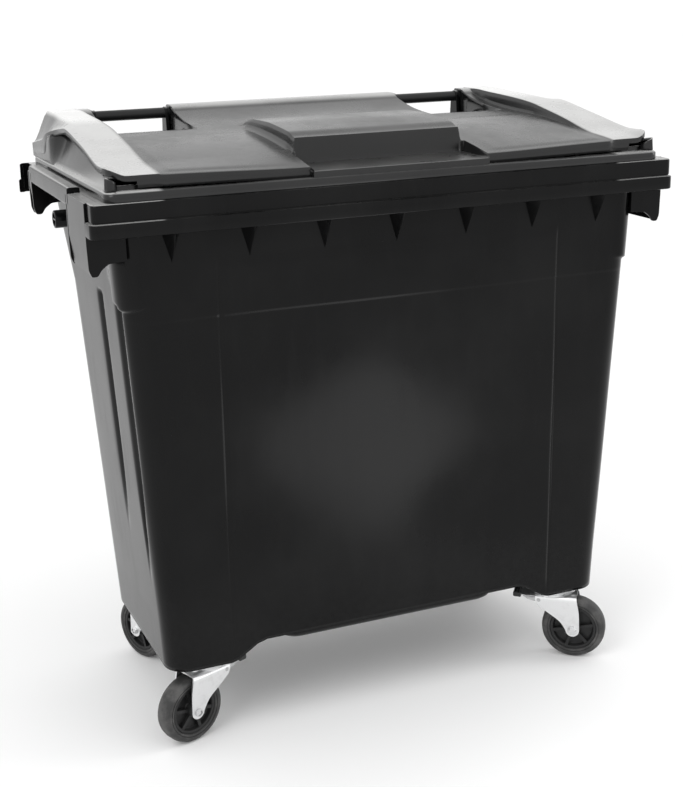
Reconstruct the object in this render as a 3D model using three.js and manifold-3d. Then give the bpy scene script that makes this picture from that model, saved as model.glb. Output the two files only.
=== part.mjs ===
// A four-wheeled 770 litre wheelie bin: a tapered moulded tub with a comb rim, a one-piece lid that
// turns on two rear handle rods, side trunnions, a drain plug and four swivel castors, the front two
// with brake pedals. Millimetres, +Z up, X across the width, -Y to the front, origin on the ground
// under the middle of the bin.
import * as THREE from "three";
import { mergeVertices } from "three/addons/utils/BufferGeometryUtils.js";
import Module from "manifold-3d";

const wasm = await Module();
wasm.setup();

// ---- driving dimensions ----
const GAP = 0.35; // left between pieces that touch
const HALF_WIDTH = 685; // of the rim's lower band and of the side bars
const HALF_DEPTH = 385;
const WALL = 6; // moulded wall of tub and lid
const PAST = 1; // how far a cutting tool runs past the face that it opens

const RIM_TOP = 1263;
const RIM_GROOVE = 1225; // the lower band stands prouder from here down
const RIM_BOTTOM = 1194;
const BAND_STEP = 5; // how far the upper band sits back
const FLANGE = 8; // thickness of the rim's top plate
const SKIRT_BOTTOM = 186;
const FLOOR = 228; // underside of the tub's floor
const FRONT_WALL = -331; // at the rim

// Outer body sections: height, half width, front, rear, front corner radius, rear corner radius.
const BODY = [
  { z: SKIRT_BOTTOM, half: 562, front: -315, back: 240, rf: 55, rb: 125 },
  { z: 300, half: 568, front: -317, back: 252, rf: 55, rb: 130 },
  { z: 500, half: 581, front: -320, back: 270, rf: 55, rb: 150 },
  { z: 1008, half: 612, front: -328, back: 285, rf: 55, rb: 150 },
  { z: RIM_BOTTOM, half: 621, front: FRONT_WALL, back: 330, rf: 55, rb: 90 },
  { z: RIM_TOP, half: 621, front: FRONT_WALL, back: 331, rf: 55, rb: 60 },
];

const GUSSET_PITCH = 170;
const GUSSETS_EACH_SIDE = 3;
const GUSSET_TIP = 1125;
const GUSSET_HALF = 24;

const BAR_INNER = 657; // side guard bar
const BAR_TOP = 1275;
const BAR_BOTTOM = 1235;
const BAY_FRONT = -165; // the trunnion bay between the side blocks
const BAY_BACK = 205;
const BLOCK_BOTTOM = 1130;
const LEG_BOTTOM = 1095;
const LEG_INNER = 664;
const BLOCK_FRONT = -335;
const BLOCK_BACK = 240;
const REAR_RAISE = 50; // how much higher the rear block's leg ends
const FLANGE_BACK = 365;
const FLANGE_INNER = 612;
const LEG_CHAMFER = 16;
const LEG_SLOPE = 40; // height of the taper at a leg's outer foot

const TRUNNION_Y = 20;
const TRUNNION_Z = 1178;
const TRUNNION_R = 20;
const TRUNNION_END = 676;

const TRAY_HALF = 285;
const TRAY_BOTTOM = 195;
const TRAY_FRONT = -292;
const TRAY_BACK = 130;
const TRAY_SLOPE = 26; // how far its sides draw in towards the bottom
const ARCH_FOOT = 420; // half width of the opening under the skirt, front and rear
const ARCH_HEAD = 330;
const PAD_X = 56; // half sizes of a castor's pad
const PAD_Y = 48;
const DRAIN_R = 26;
const DRAIN_Y = -90;

// Hinge rods, which are the rear handles too.
const ROD_Y = 350;
const ROD_Z = 1366;
const ROD_R = 13;
const ROD_INNER = 285;
const ROD_OUTER = 524;
const NOTCH_INNER = 306; // the lid's rear notches
const NOTCH_OUTER = 503;
const NOTCH_FRONT = 296;
const NOTCH_LEDGE = 315; // the lid's seat runs on to here, under the notch
const LUG_THICK = 9;
const LUG_R = 15;
const LUG_GAP = 3; // from the lid's notch
const LUG_FOOT = 26; // half depth of a lug where it stands on the rim
const LID_ROD_GAP = 0.8; // the lid turns on the rod with this play

// Lid
const LID_HALF = 645;
const LID_BOTTOM = RIM_TOP + 1;
const LID_FRONT = -372;
const LID_BACK = 345;
const BOX_BACK = 370; // rear edge of the lid, behind the rods
const LID_TOP = 1385;
const CENTRE_HALF = 205;
const HUMP_HALF = 200;
const STRIP_INNER = 530;
const SHELF = 1296; // top of the lid's plain centre, in front of the hump
const BUFFER_GAP = 0.2; // above and below a lid buffer
const MOUTH_INNER = 614; // back wall of the grip recess in each end
const WINDOW_FLOOR = 1319; // crest of the wing in front of a notch
const ABOVE_LID = 1400; // higher than anything on the lid
const ROD_BOSS = 26; // length of the lid's boss beside each notch
const ROD_BOSS_FRONT = 320;
const LID_UNDER = WALL + 2; // the lid's wall measured straight down a sloping top

// Castors
const WHEEL_R = 80;
const TYRE_HALF = 22;
const TREAD_INNER_R = 58;
const TRAIL = 57;
const PLATE_TOP = SKIRT_BOTTOM - GAP;
const PLATE_THICK = 5;
const PLATE_BOTTOM = PLATE_TOP - PLATE_THICK;
const CROWN_TOP = 170;
const CROWN_THICK = 4;
const LEG_FACE = 30; // inner face of a fork leg from the wheel's middle
const AXLE_R = 6;
const BOLT_X = 40;
const BOLT_Y = 32;
const BOLT_R = 4;
const PEDAL_PIN_R = 5;
const PEDAL_PIVOT = [-30, 156]; // along the trail, and height
// Each castor: where it stands, and the way its wheel trails, in degrees from +X.
const CASTORS = [
  { name: "front_left", x: -460, y: -262, trail: 200, brake: true },
  { name: "front_right", x: 460, y: -262, trail: -38, brake: true },
  { name: "rear_left", x: -470, y: 120, trail: 115, brake: false },
  { name: "rear_right", x: 455, y: 120, trail: 118, brake: false },
];

const FINISH = {
  plastic: { color: 0x131416, roughness: 0.28, metalness: 0 },
  rod: { color: 0x1b1c1e, roughness: 0.45, metalness: 0 },
  rubber: { color: 0x2a2b2c, roughness: 0.7, metalness: 0 },
  core: { color: 0x161718, roughness: 0.5, metalness: 0 },
  zinc: { color: 0xc4c7ca, roughness: 0.38, metalness: 1 },
  bolt: { color: 0xb4b8bc, roughness: 0.32, metalness: 1 },
  steel: { color: 0x8d9195, roughness: 0.35, metalness: 1 },
};

// ---- helpers ----
const group = new THREE.Group();

/** A closed geometry as a manifold-3d solid. */
function solid(geometry) {
  const bare = new THREE.BufferGeometry().setAttribute("position", geometry.getAttribute("position"));
  if (geometry.index) bare.setIndex(geometry.index);
  const merged = mergeVertices(bare, 1e-3);
  return new wasm.Manifold(
    new wasm.Mesh({
      numProp: 3,
      vertProperties: new Float32Array(merged.attributes.position.array),
      triVerts: new Uint32Array(merged.index.array),
    }),
  );
}

/** A manifold-3d solid as a geometry. */
function geometryOf(made) {
  const mesh = made.getMesh();
  const geometry = new THREE.BufferGeometry();
  geometry.setAttribute("position", new THREE.BufferAttribute(new Float32Array(mesh.vertProperties), 3));
  geometry.setIndex(new THREE.BufferAttribute(new Uint32Array(mesh.triVerts), 1));
  geometry.computeVertexNormals();
  return geometry;
}

/** All the solids joined into one. */
function join(...solids) {
  return solids.reduce((all, one) => all.add(one));
}

/** The first solid less the others. */
function cut(base, ...tools) {
  return tools.reduce((left, one) => left.subtract(one), base);
}

/** Names a solid as one node, in a finish, under a parent. */
function node(name, made, finish, parent = group) {
  const mesh = new THREE.Mesh(geometryOf(made), new THREE.MeshStandardMaterial(FINISH[finish]));
  mesh.name = name;
  parent.add(mesh);
  return mesh;
}

function block(x0, x1, y0, y1, z0, z1) {
  const box = new THREE.BoxGeometry(x1 - x0, y1 - y0, z1 - z0);
  return solid(box.translate((x0 + x1) / 2, (y0 + y1) / 2, (z0 + z1) / 2));
}

/** The outline of [a, b] points drawn out to a given depth from the shape's own plane. */
function extruded(outline, depth) {
  const shape = new THREE.Shape(outline.map(([a, b]) => new THREE.Vector2(a, b)));
  return new THREE.ExtrudeGeometry(shape, { depth, bevelEnabled: false });
}

/** A side-view outline of [y, z] points carried along X. */
function alongX(outline, x0, x1) {
  const turn = new THREE.Matrix4().makeBasis(
    new THREE.Vector3(0, 1, 0),
    new THREE.Vector3(0, 0, 1),
    new THREE.Vector3(1, 0, 0),
  );
  return solid(extruded(outline, x1 - x0).applyMatrix4(turn).translate(x0, 0, 0));
}

/** A front-view outline of [x, z] points carried along Y. */
function alongY(outline, y0, y1) {
  const turn = new THREE.Matrix4().makeBasis(
    new THREE.Vector3(1, 0, 0),
    new THREE.Vector3(0, 0, 1),
    new THREE.Vector3(0, -1, 0),
  );
  return solid(extruded(outline, y1 - y0).applyMatrix4(turn).translate(0, y1, 0));
}

/** A plan outline of [x, y] points carried up Z. */
function alongZ(outline, z0, z1) {
  return solid(extruded(outline, z1 - z0).translate(0, 0, z0));
}

/** A round bar or disc along an axis ("x", "y" or "z"), from a to b, centred on c. */
function rod(axis, radius, a, b, c, sides = 20) {
  const bar = new THREE.CylinderGeometry(radius, radius, b - a, sides);
  if (axis === "x") bar.rotateZ(Math.PI / 2).translate((a + b) / 2, c[0], c[1]);
  if (axis === "y") bar.translate(c[0], (a + b) / 2, c[1]);
  if (axis === "z") bar.rotateX(Math.PI / 2).translate(c[0], c[1], (a + b) / 2);
  return solid(bar);
}

/** A profile of [radius, height] points turned about Z. */
function turned(profile, sides = 18) {
  const points = profile.map(([r, z]) => new THREE.Vector2(r, z));
  return solid(new THREE.LatheGeometry(points, sides).rotateX(Math.PI / 2));
}

/** Points of an arc about (cx, cy), angles in degrees. */
function arc(cx, cy, radius, from, to, steps) {
  return Array.from({ length: steps + 1 }, (_, i) => {
    const angle = THREE.MathUtils.degToRad(from + ((to - from) * i) / steps);
    return [cx + radius * Math.cos(angle), cy + radius * Math.sin(angle)];
  });
}

/** A plan section with round corners, anticlockwise from the front right corner. */
function section({ half, front, back, rf, rb }, steps = 6) {
  return [
    ...arc(half - rf, front + rf, rf, -90, 0, steps),
    ...arc(half - rb, back - rb, rb, 0, 90, steps),
    ...arc(-half + rb, back - rb, rb, 90, 180, steps),
    ...arc(-half + rf, front + rf, rf, 180, 270, steps),
  ];
}

/** A skin through level rings of equal count, [{z, ring}], closed by a flat cap at each end. */
function loft(levels) {
  const count = levels[0].ring.length;
  const positions = levels.flatMap(({ z, ring }) => ring.flatMap(([x, y]) => [x, y, z]));
  const index = [];
  for (let level = 0; level + 1 < levels.length; level += 1) {
    for (let i = 0; i < count; i += 1) {
      const a = level * count + i;
      const b = level * count + ((i + 1) % count);
      index.push(a, b, b + count, a, b + count, a + count);
    }
  }
  const top = (levels.length - 1) * count;
  for (let i = 1; i + 1 < count; i += 1) {
    index.push(0, i + 1, i);
    index.push(top, top + i, top + i + 1);
  }
  const geometry = new THREE.BufferGeometry();
  geometry.setAttribute("position", new THREE.BufferAttribute(new Float32Array(positions), 3));
  geometry.setIndex(index);
  return solid(geometry);
}

/** The body section at any height, worked out between the listed ones. */
function bodyAt(z) {
  const above = Math.max(1, BODY.findIndex((s) => s.z >= z));
  const [low, high] = [BODY[above - 1], BODY[above]];
  const t = (z - low.z) / (high.z - low.z);
  const mix = (key) => THREE.MathUtils.lerp(low[key], high[key], t);
  return { z, half: mix("half"), front: mix("front"), back: mix("back"), rf: mix("rf"), rb: mix("rb") };
}

/** A body section moved inwards by a wall. */
function inset(s, wall) {
  return {
    ...s,
    half: s.half - wall,
    front: s.front + wall,
    back: s.back - wall,
    rf: s.rf - wall,
    rb: s.rb - wall,
  };
}

/** The body's solid between two heights, moved inwards by a wall; the ends run on to endZ. */
function bodyForm(z0, z1, wall = 0, endZ = z1) {
  const heights = [z0, ...BODY.map((s) => s.z).filter((z) => z > z0 && z < z1), z1];
  const levels = heights.map((z) => ({ z, ring: section(inset(bodyAt(z), wall)) }));
  if (endZ > z1) levels.push({ z: endZ, ring: levels.at(-1).ring });
  return loft(levels);
}

/** Runs a maker once for each side, with side -1 and 1. */
function bothSides(make) {
  return [-1, 1].map(make);
}

/** A front-view outline mirrored to the given side, kept anticlockwise. */
function sided(outline, side) {
  const placed = outline.map(([a, b]) => [a * side, b]);
  return side < 0 ? placed.reverse() : placed;
}

function blockOn(side, x0, x1, y0, y1, z0, z1) {
  return side > 0 ? block(x0, x1, y0, y1, z0, z1) : block(-x1, -x0, y0, y1, z0, z1);
}

/** A side-view outline carried from x0 to x1 on the given side. */
function alongSide(side, outline, x0, x1) {
  return side > 0 ? alongX(outline, x0, x1) : alongX(outline, -x1, -x0);
}

// ---- tub ----
function rim() {
  const plan = (grow, radius) => {
    const half = HALF_WIDTH - grow;
    const depth = HALF_DEPTH - grow;
    return section({ half, front: -depth, back: depth, rf: radius, rb: radius }, 3);
  };
  const upper = alongZ(plan(BAND_STEP, 14), RIM_GROOVE, RIM_TOP);
  const lower = alongZ(plan(0, 18), RIM_BOTTOM, RIM_GROOVE + 0.5);
  const hollow = alongZ(plan(BAND_STEP + WALL, 10), RIM_BOTTOM - PAST, RIM_TOP - FLANGE);
  const sideCuts = bothSides((side) => {
    const [low, high] = [RIM_BOTTOM - PAST, RIM_TOP + PAST];
    return blockOn(side, BAR_INNER - 30, HALF_WIDTH + PAST, BLOCK_FRONT, HALF_DEPTH - WALL, low, high);
  });
  return cut(join(upper, lower), hollow, ...sideCuts);
}

function gusset(x) {
  const wallY = FRONT_WALL + 4;
  const ring = (half, nose) => [
    [x - half, wallY],
    [x, nose],
    [x + half, wallY],
  ];
  return loft([
    { z: GUSSET_TIP, ring: ring(0.6, FRONT_WALL - 1) },
    { z: RIM_BOTTOM + 2, ring: ring(GUSSET_HALF, -HALF_DEPTH + WALL) },
    { z: RIM_TOP - FLANGE + 1, ring: ring(GUSSET_HALF, -HALF_DEPTH + WALL) },
  ]);
}

/** One side's guard: the flange beside the mouth, the bar, and a block with a leg at each end. */
function sideGuard(side) {
  const under = RIM_TOP - FLANGE;
  const flange = blockOn(side, FLANGE_INNER, BAR_INNER + 1, BLOCK_FRONT, FLANGE_BACK, under, RIM_TOP);
  const bar = blockOn(side, BAR_INNER, HALF_WIDTH, BAY_FRONT - 20, BAY_BACK + 20, BAR_BOTTOM, BAR_TOP);
  const plate = (raise) => [
    [600, BLOCK_BOTTOM + raise],
    [LEG_INNER - LEG_CHAMFER, BLOCK_BOTTOM + raise],
    [LEG_INNER, BLOCK_BOTTOM - LEG_CHAMFER + raise],
    [LEG_INNER, LEG_BOTTOM + raise],
    [HALF_WIDTH - 6, LEG_BOTTOM + raise],
    [HALF_WIDTH, BLOCK_BOTTOM + LEG_SLOPE + raise],
    [HALF_WIDTH, RIM_TOP],
    [600, RIM_TOP],
  ];
  const blocks = [
    alongY(sided(plate(0), side), BLOCK_FRONT, BAY_FRONT),
    alongY(sided(plate(REAR_RAISE), side), BAY_BACK, BLOCK_BACK),
  ];
  const pockets = [
    [BLOCK_FRONT, BAY_FRONT],
    [BAY_BACK, BLOCK_BACK],
  ].map(([front, back]) =>
    blockOn(side, 590, LEG_INNER, front + WALL, back - WALL, LEG_BOTTOM - PAST, under),
  );
  return cut(join(flange, bar, ...blocks), ...pockets);
}

/** A rear lug that stands on the rim and holds a hinge rod. */
function lug(x0, side) {
  const outline = [
    [ROD_Y - LUG_FOOT, RIM_TOP - 2],
    [ROD_Y + LUG_FOOT, RIM_TOP - 2],
    ...arc(ROD_Y, ROD_Z, LUG_R, 0, 180, 8),
  ];
  return alongSide(side, outline, x0, x0 + LUG_THICK);
}

/** The tray's plan, drawn in all round, with corners of one radius. */
function trayPlan(inwards, radius) {
  const [front, back] = [TRAY_FRONT + inwards, TRAY_BACK - inwards];
  return section({ half: TRAY_HALF - inwards, front, back, rf: radius, rb: radius }, 4);
}

/** The shallow tray under the floor that drains to the plug. */
function tray() {
  return loft([
    { z: TRAY_BOTTOM, ring: trayPlan(TRAY_SLOPE, 40) },
    { z: TRAY_BOTTOM + 16, ring: trayPlan(4, 40) },
    { z: FLOOR + 2, ring: trayPlan(0, 40) },
  ]);
}

function trayHollow() {
  return loft([
    { z: TRAY_BOTTOM + WALL, ring: trayPlan(TRAY_SLOPE + WALL + 2, 30) },
    { z: TRAY_BOTTOM + WALL + 14, ring: trayPlan(WALL + 6, 30) },
    { z: FLOOR + WALL + PAST, ring: trayPlan(WALL + 4, 30) },
  ]);
}

/** A solid pad in each corner under the floor, which takes a castor's plate. */
function castorPad({ x, y }) {
  return block(x - PAD_X, x + PAD_X, y - PAD_Y, y + PAD_Y, SKIRT_BOTTOM, FLOOR + 1);
}

function boltPlaces({ x, y }) {
  return [-1, 1].flatMap((i) => [-1, 1].map((j) => [x + i * BOLT_X, y + j * BOLT_Y]));
}

function tub() {
  const outer = bodyForm(SKIRT_BOTTOM, RIM_TOP - 1);
  const skirtHollow = bodyForm(SKIRT_BOTTOM, FLOOR, WALL);
  const pads = CASTORS.map(castorPad).map((pad) => pad.intersect(outer));
  const arches = alongY(
    [
      [-ARCH_FOOT, SKIRT_BOTTOM - PAST],
      [ARCH_FOOT, SKIRT_BOTTOM - PAST],
      [ARCH_HEAD, FLOOR],
      [-ARCH_HEAD, FLOOR],
    ],
    -HALF_DEPTH,
    HALF_DEPTH,
  );
  const shell = join(cut(outer, skirtHollow, arches), ...pads, tray());
  const lugs = bothSides((side) => [
    lug(NOTCH_INNER + LUG_GAP, side),
    lug(NOTCH_OUTER - LUG_GAP - LUG_THICK, side),
  ]).flat();
  const gussets = Array.from({ length: 2 * GUSSETS_EACH_SIDE + 1 }, (_, i) =>
    gusset((i - GUSSETS_EACH_SIDE) * GUSSET_PITCH),
  );
  const solidTub = join(shell, rim(), ...gussets, ...bothSides(sideGuard), ...lugs);
  const inside = bodyForm(FLOOR + WALL, RIM_TOP - 1, WALL, RIM_TOP + 1);
  const rodHoles = bothSides((side) => hingeRod(side, ROD_R + GAP, 0));
  const boltHoles = CASTORS.flatMap(boltPlaces).map((at) =>
    rod("z", BOLT_R + GAP, SKIRT_BOTTOM - 1, SKIRT_BOTTOM + 24, at, 8),
  );
  const drain = rod("z", DRAIN_R + GAP, TRAY_BOTTOM - 1, TRAY_BOTTOM + WALL + 1, [0, DRAIN_Y], 24);
  node("tub", cut(solidTub, inside, trayHollow(), ...rodHoles, ...boltHoles, drain), "plastic");
}

/** A round bar on the hinge axis along one side's rod, longer at each end by a given length. */
function hingeRod(side, radius, longer) {
  const ends = [side * (ROD_INNER - longer), side * (ROD_OUTER + longer)].sort((a, b) => a - b);
  return rod("x", radius, ends[0], ends[1], [ROD_Y, ROD_Z]);
}

function drainPlug() {
  const top = TRAY_BOTTOM - GAP;
  const profile = [
    [0, top - 10],
    [14, top - 10],
    [34, top - 7],
    [34, top - 2.4],
    [DRAIN_R, top - 2.4],
    [DRAIN_R - 1, top + WALL + 3],
    [0, top + WALL + 3],
  ];
  const seal = [
    [DRAIN_R + GAP, top - 2],
    [33, top - 2],
    [33, top],
    [DRAIN_R + GAP, top],
    [DRAIN_R + GAP, top - 2],
  ];
  const grip = block(-22, 22, -4, 4, top - 16, top - 8);
  const place = new THREE.Group();
  place.position.set(0, DRAIN_Y, 0);
  group.add(place);
  node("drain_plug", turned(profile, 24).add(grip), "plastic", place);
  node("drain_seal", turned(seal, 24), "rubber", place);
}

function trunnions() {
  const wall = bodyAt(TRUNNION_Z).half + 4;
  for (const [name, side] of [["trunnion_left", -1], ["trunnion_right", 1]]) {
    const profile = [
      [0, 0],
      [36, 0],
      [36, 6],
      [TRUNNION_R + 3, 10],
      [TRUNNION_R, 14],
      [TRUNNION_R, TRUNNION_END - wall - 3],
      [TRUNNION_R - 3, TRUNNION_END - wall],
      [0, TRUNNION_END - wall],
    ];
    const place = new THREE.Group();
    place.position.set(side * wall, TRUNNION_Y, TRUNNION_Z);
    place.rotation.y = (side * Math.PI) / 2;
    group.add(place);
    node(name, turned(profile), "plastic", place);
  }
}

function handleRods() {
  node("handle_rod_left", hingeRod(-1, ROD_R, -1), "rod");
  node("handle_rod_right", hingeRod(1, ROD_R, -1), "rod");
}

// ---- lid ----
// Height of the wing panels' top along Y, and of the end strips and the hump.
const PANEL_TOP = [
  [-360, 1304],
  [-246, 1322],
  [-100, 1338],
  [0, 1344],
  [100, 1347],
  [200, 1354],
  [300, 1372],
  [338, LID_TOP],
  [BOX_BACK, LID_TOP],
];
// In front of each notch the wing falls behind its crest, so the rod shows over it.
const WINDOW_TOP = [
  [100, 1347],
  [200, 1337],
  [NOTCH_FRONT, WINDOW_FLOOR],
];
const STRIP_TOP = [
  [-346, 1308],
  [-244, 1322],
  [-142, 1344],
  [-60, 1358],
  [20, 1370],
  [120, 1377],
  [240, 1382],
  [300, LID_TOP],
];
const HUMP_TOP = [
  [-240, 1346],
  [-153, 1360],
  [-66, 1365],
  [18, 1364],
  [92, 1353],
  [150, 1345],
];

/** The side-view outline of a wing, from its seat on the rim up to the top given. */
function wingOutline(top) {
  return [
    [LID_FRONT, LID_BOTTOM],
    [LID_BACK, LID_BOTTOM],
    [LID_BACK, 1340],
    [BOX_BACK, 1352],
    ...[...top].reverse(),
    [top[0][0], 1286],
    [-338, 1286],
    [-338, 1279],
    [LID_FRONT, 1279],
  ];
}

function centreOutline() {
  const rear = PANEL_TOP.slice(5).reverse();
  return [
    [LID_FRONT, LID_BOTTOM],
    [LID_BACK, LID_BOTTOM],
    [LID_BACK, 1340],
    [BOX_BACK, 1352],
    ...rear,
    ...[...HUMP_TOP].reverse(),
    [-242, 1300],
    [LID_FRONT + 8, SHELF],
    [LID_FRONT, SHELF - 5],
  ];
}

/** The hollow under a top line: the line moved down by the wall, and closed below the lid. */
function hollowUnder(top, front, back) {
  const inner = top.filter(([y]) => y > front && y < back).map(([y, z]) => [y, z - LID_UNDER]);
  return [
    [front, LID_BOTTOM - 1],
    [back, LID_BOTTOM - 1],
    [back, inner.at(-1)[1]],
    ...inner.reverse(),
    [front, inner.at(-1)[1]],
  ];
}

/** The arched recess in each end wall under the strip, where a hand takes the lid's side. */
function sideMouth(side) {
  const outline = [
    [-300, LID_BOTTOM + 14],
    [150, LID_BOTTOM + 14],
    [130, 1330],
    [60, 1346],
    [-40, 1338],
    [-160, 1318],
    [-300, 1292],
  ];
  return alongSide(side, outline, MOUTH_INNER, LID_HALF + 1);
}

function lid() {
  const wing = alongX(wingOutline(PANEL_TOP), -LID_HALF + 10, LID_HALF - 10);
  const strips = bothSides((side) => {
    const top = [...STRIP_TOP, [BOX_BACK, LID_TOP]];
    const outline = [...[...top].reverse(), [top[0][0], 1288], [BOX_BACK, 1352]];
    return alongSide(side, outline, STRIP_INNER, LID_HALF);
  });
  const noWing = block(-CENTRE_HALF, CENTRE_HALF, LID_FRONT - 1, -200, LID_BOTTOM - 1, ABOVE_LID);
  const centre = alongX(centreOutline(), -HUMP_HALF, HUMP_HALF);
  const fill = alongX(
    [
      [LID_FRONT, LID_BOTTOM],
      [-190, LID_BOTTOM],
      [-190, 1300],
      [LID_FRONT + 8, SHELF],
      [LID_FRONT, SHELF - 5],
    ],
    -CENTRE_HALF - 2,
    CENTRE_HALF + 2,
  );
  const whole = join(cut(wing, noWing), ...strips, centre, fill);
  const windowLine = [...PANEL_TOP.filter(([y]) => y < 100), ...WINDOW_TOP];
  const wingHollow = bothSides((side) => {
    const full = hollowUnder(PANEL_TOP, -330, 338);
    const low = hollowUnder(windowLine, -330, NOTCH_FRONT - WALL);
    return [
      alongSide(side, full, CENTRE_HALF + WALL, NOTCH_INNER - WALL),
      alongSide(side, low, NOTCH_INNER - WALL - 1, NOTCH_OUTER + WALL + 1),
      alongSide(side, full, NOTCH_OUTER + WALL, MOUTH_INNER - WALL),
    ];
  }).flat();
  const windowRear = BOX_BACK + PAST;
  const overWindow = [
    ...WINDOW_TOP,
    [windowRear, WINDOW_FLOOR],
    [windowRear, ABOVE_LID],
    [WINDOW_TOP[0][0], ABOVE_LID],
  ];
  const windows = bothSides((side) => alongSide(side, overWindow, NOTCH_INNER, NOTCH_OUTER));
  const centreHollow = alongX(
    [
      [LID_FRONT + WALL, LID_BOTTOM - 1],
      [338, LID_BOTTOM - 1],
      [338, 1366],
      ...PANEL_TOP.slice(5, 7).map(([y, z]) => [y, z - LID_UNDER]).reverse(),
      ...[...HUMP_TOP].reverse().map(([y, z]) => [y, z - LID_UNDER]),
      [-232, 1292],
      [LID_FRONT + WALL, SHELF - 8],
    ],
    -HUMP_HALF + WALL,
    HUMP_HALF - WALL,
  );
  const seatTop = LID_BOTTOM + LID_UNDER;
  const notches = bothSides((side) => [
    blockOn(side, NOTCH_INNER, NOTCH_OUTER, NOTCH_FRONT, windowRear, seatTop, ABOVE_LID),
    blockOn(side, NOTCH_INNER, NOTCH_OUTER, NOTCH_LEDGE, windowRear, LID_BOTTOM - PAST, seatTop + PAST),
  ]).flat();
  const notchWalls = bothSides((side) => {
    const [inner, outer] = [NOTCH_INNER - WALL, NOTCH_OUTER + WALL];
    const front = NOTCH_FRONT - WALL;
    const bossTop = ROD_Z + WALL;
    return [
      blockOn(side, inner, outer, front, NOTCH_FRONT, LID_BOTTOM, WINDOW_FLOOR - 3),
      blockOn(side, inner, outer, front, LID_BACK, LID_BOTTOM, seatTop),
      blockOn(side, NOTCH_INNER - ROD_BOSS, NOTCH_INNER, ROD_BOSS_FRONT, LID_BACK, LID_BOTTOM, bossTop),
      blockOn(side, NOTCH_OUTER, NOTCH_OUTER + ROD_BOSS, ROD_BOSS_FRONT, LID_BACK, LID_BOTTOM, bossTop),
    ];
  }).flat();
  const rodHoles = bothSides((side) => hingeRod(side, ROD_R + LID_ROD_GAP, 1));
  const hollowed = cut(whole, ...windows, ...wingHollow, centreHollow, ...bothSides(sideMouth));
  node("lid", cut(join(hollowed, ...notchWalls), ...notches, ...rodHoles), "plastic");
}

function lidBuffers() {
  const places = [
    ["lid_buffer_front_left", -600, -352],
    ["lid_buffer_front_right", 600, -352],
    ["lid_buffer_rear_left", -600, 336],
    ["lid_buffer_rear_right", 600, 336],
  ];
  for (const [name, x, y] of places) {
    const pad = block(x - 14, x + 14, y - 6, y + 6, RIM_TOP + BUFFER_GAP, LID_BOTTOM - BUFFER_GAP);
    node(name, pad, "rubber");
  }
}

// ---- castors: each is built at its own pivot with the wheel trailing along +X ----
function mountPlate() {
  const plan = section({ half: PAD_X - 4, front: 4 - PAD_Y, back: PAD_Y - 4, rf: 10, rb: 10 }, 3);
  const plate = alongZ(plan, PLATE_BOTTOM, PLATE_TOP);
  const race = turned(
    [
      [0, CROWN_TOP + 6.8],
      [30, CROWN_TOP + 6.8],
      [36, PLATE_BOTTOM - 0.5],
      [36, PLATE_BOTTOM + 0.5],
      [0, PLATE_BOTTOM + 0.5],
    ],
    18,
  );
  const holes = boltPlaces({ x: 0, y: 0 }).map((at) => rod("z", BOLT_R + GAP, 150, 200, at, 8));
  return cut(join(plate, race), rod("z", AXLE_R + GAP, 150, 200, [0, 0], 12), ...holes);
}

function kingpin() {
  const crownBottom = CROWN_TOP - CROWN_THICK;
  return turned(
    [
      [0, crownBottom - 10],
      [11, crownBottom - 10],
      [11, crownBottom - GAP],
      [AXLE_R, crownBottom - GAP],
      [AXLE_R, PLATE_TOP - 0.2],
      [0, PLATE_TOP - 0.2],
    ],
    12,
  );
}

/** The pressed fork: a crown with the lower race, and a tapered leg with a round end on each side. */
function fork(brake) {
  const crownBottom = CROWN_TOP - CROWN_THICK;
  const crown = alongZ(
    [
      [62, -34],
      [62, 34],
      [-22, 34],
      ...arc(0, 0, 36, 130, 230, 6),
      [-22, -34],
    ],
    crownBottom,
    CROWN_TOP,
  );
  const race = turned(
    [
      [0, CROWN_TOP - 0.5],
      [34, CROWN_TOP - 0.5],
      [30, CROWN_TOP + 6.4],
      [0, CROWN_TOP + 6.4],
    ],
    18,
  );
  const nose = brake ? -40 : -22;
  const leg = [
    [nose, 150],
    [nose + 14, 138],
    ...arc(TRAIL, WHEEL_R, 17, 210, 350, 7),
    [62, CROWN_TOP - 1],
    [nose, CROWN_TOP - 1],
  ];
  const legs = [alongY(leg, -LEG_FACE - 4, -LEG_FACE), alongY(leg, LEG_FACE, LEG_FACE + 4)];
  const pivot = rod("y", PEDAL_PIN_R + GAP, -50, 50, PEDAL_PIVOT, 12);
  const holes = [
    rod("z", AXLE_R + GAP, 140, 200, [0, 0], 12),
    rod("y", AXLE_R + GAP, -50, 50, [TRAIL, WHEEL_R], 12),
  ];
  return cut(join(crown, race, ...legs), ...holes, ...(brake ? [pivot] : []));
}

/** The axle bolt runs through both legs and the wheel's bore; its head is on the -Y side. */
function axleBolt() {
  const shank = rod("y", AXLE_R, -LEG_FACE - 6, LEG_FACE + 9, [TRAIL, WHEEL_R], 12);
  const head = rod("y", 10, -LEG_FACE - 10.5, -LEG_FACE - 4 - GAP, [TRAIL, WHEEL_R], 6);
  return join(shank, head);
}

function axleNut() {
  const hex = rod("y", 10, LEG_FACE + 4 + GAP, LEG_FACE + 11, [TRAIL, WHEEL_R], 6);
  return cut(hex, rod("y", AXLE_R + GAP, 0, 60, [TRAIL, WHEEL_R], 12));
}

/** A wheel piece turned about the axle, from [radius, offset from the middle] points. */
function wheelPiece(profile, sides) {
  const points = profile.map(([r, h]) => new THREE.Vector2(r, h));
  return solid(new THREE.LatheGeometry(points, sides).translate(TRAIL, 0, WHEEL_R));
}

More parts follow.
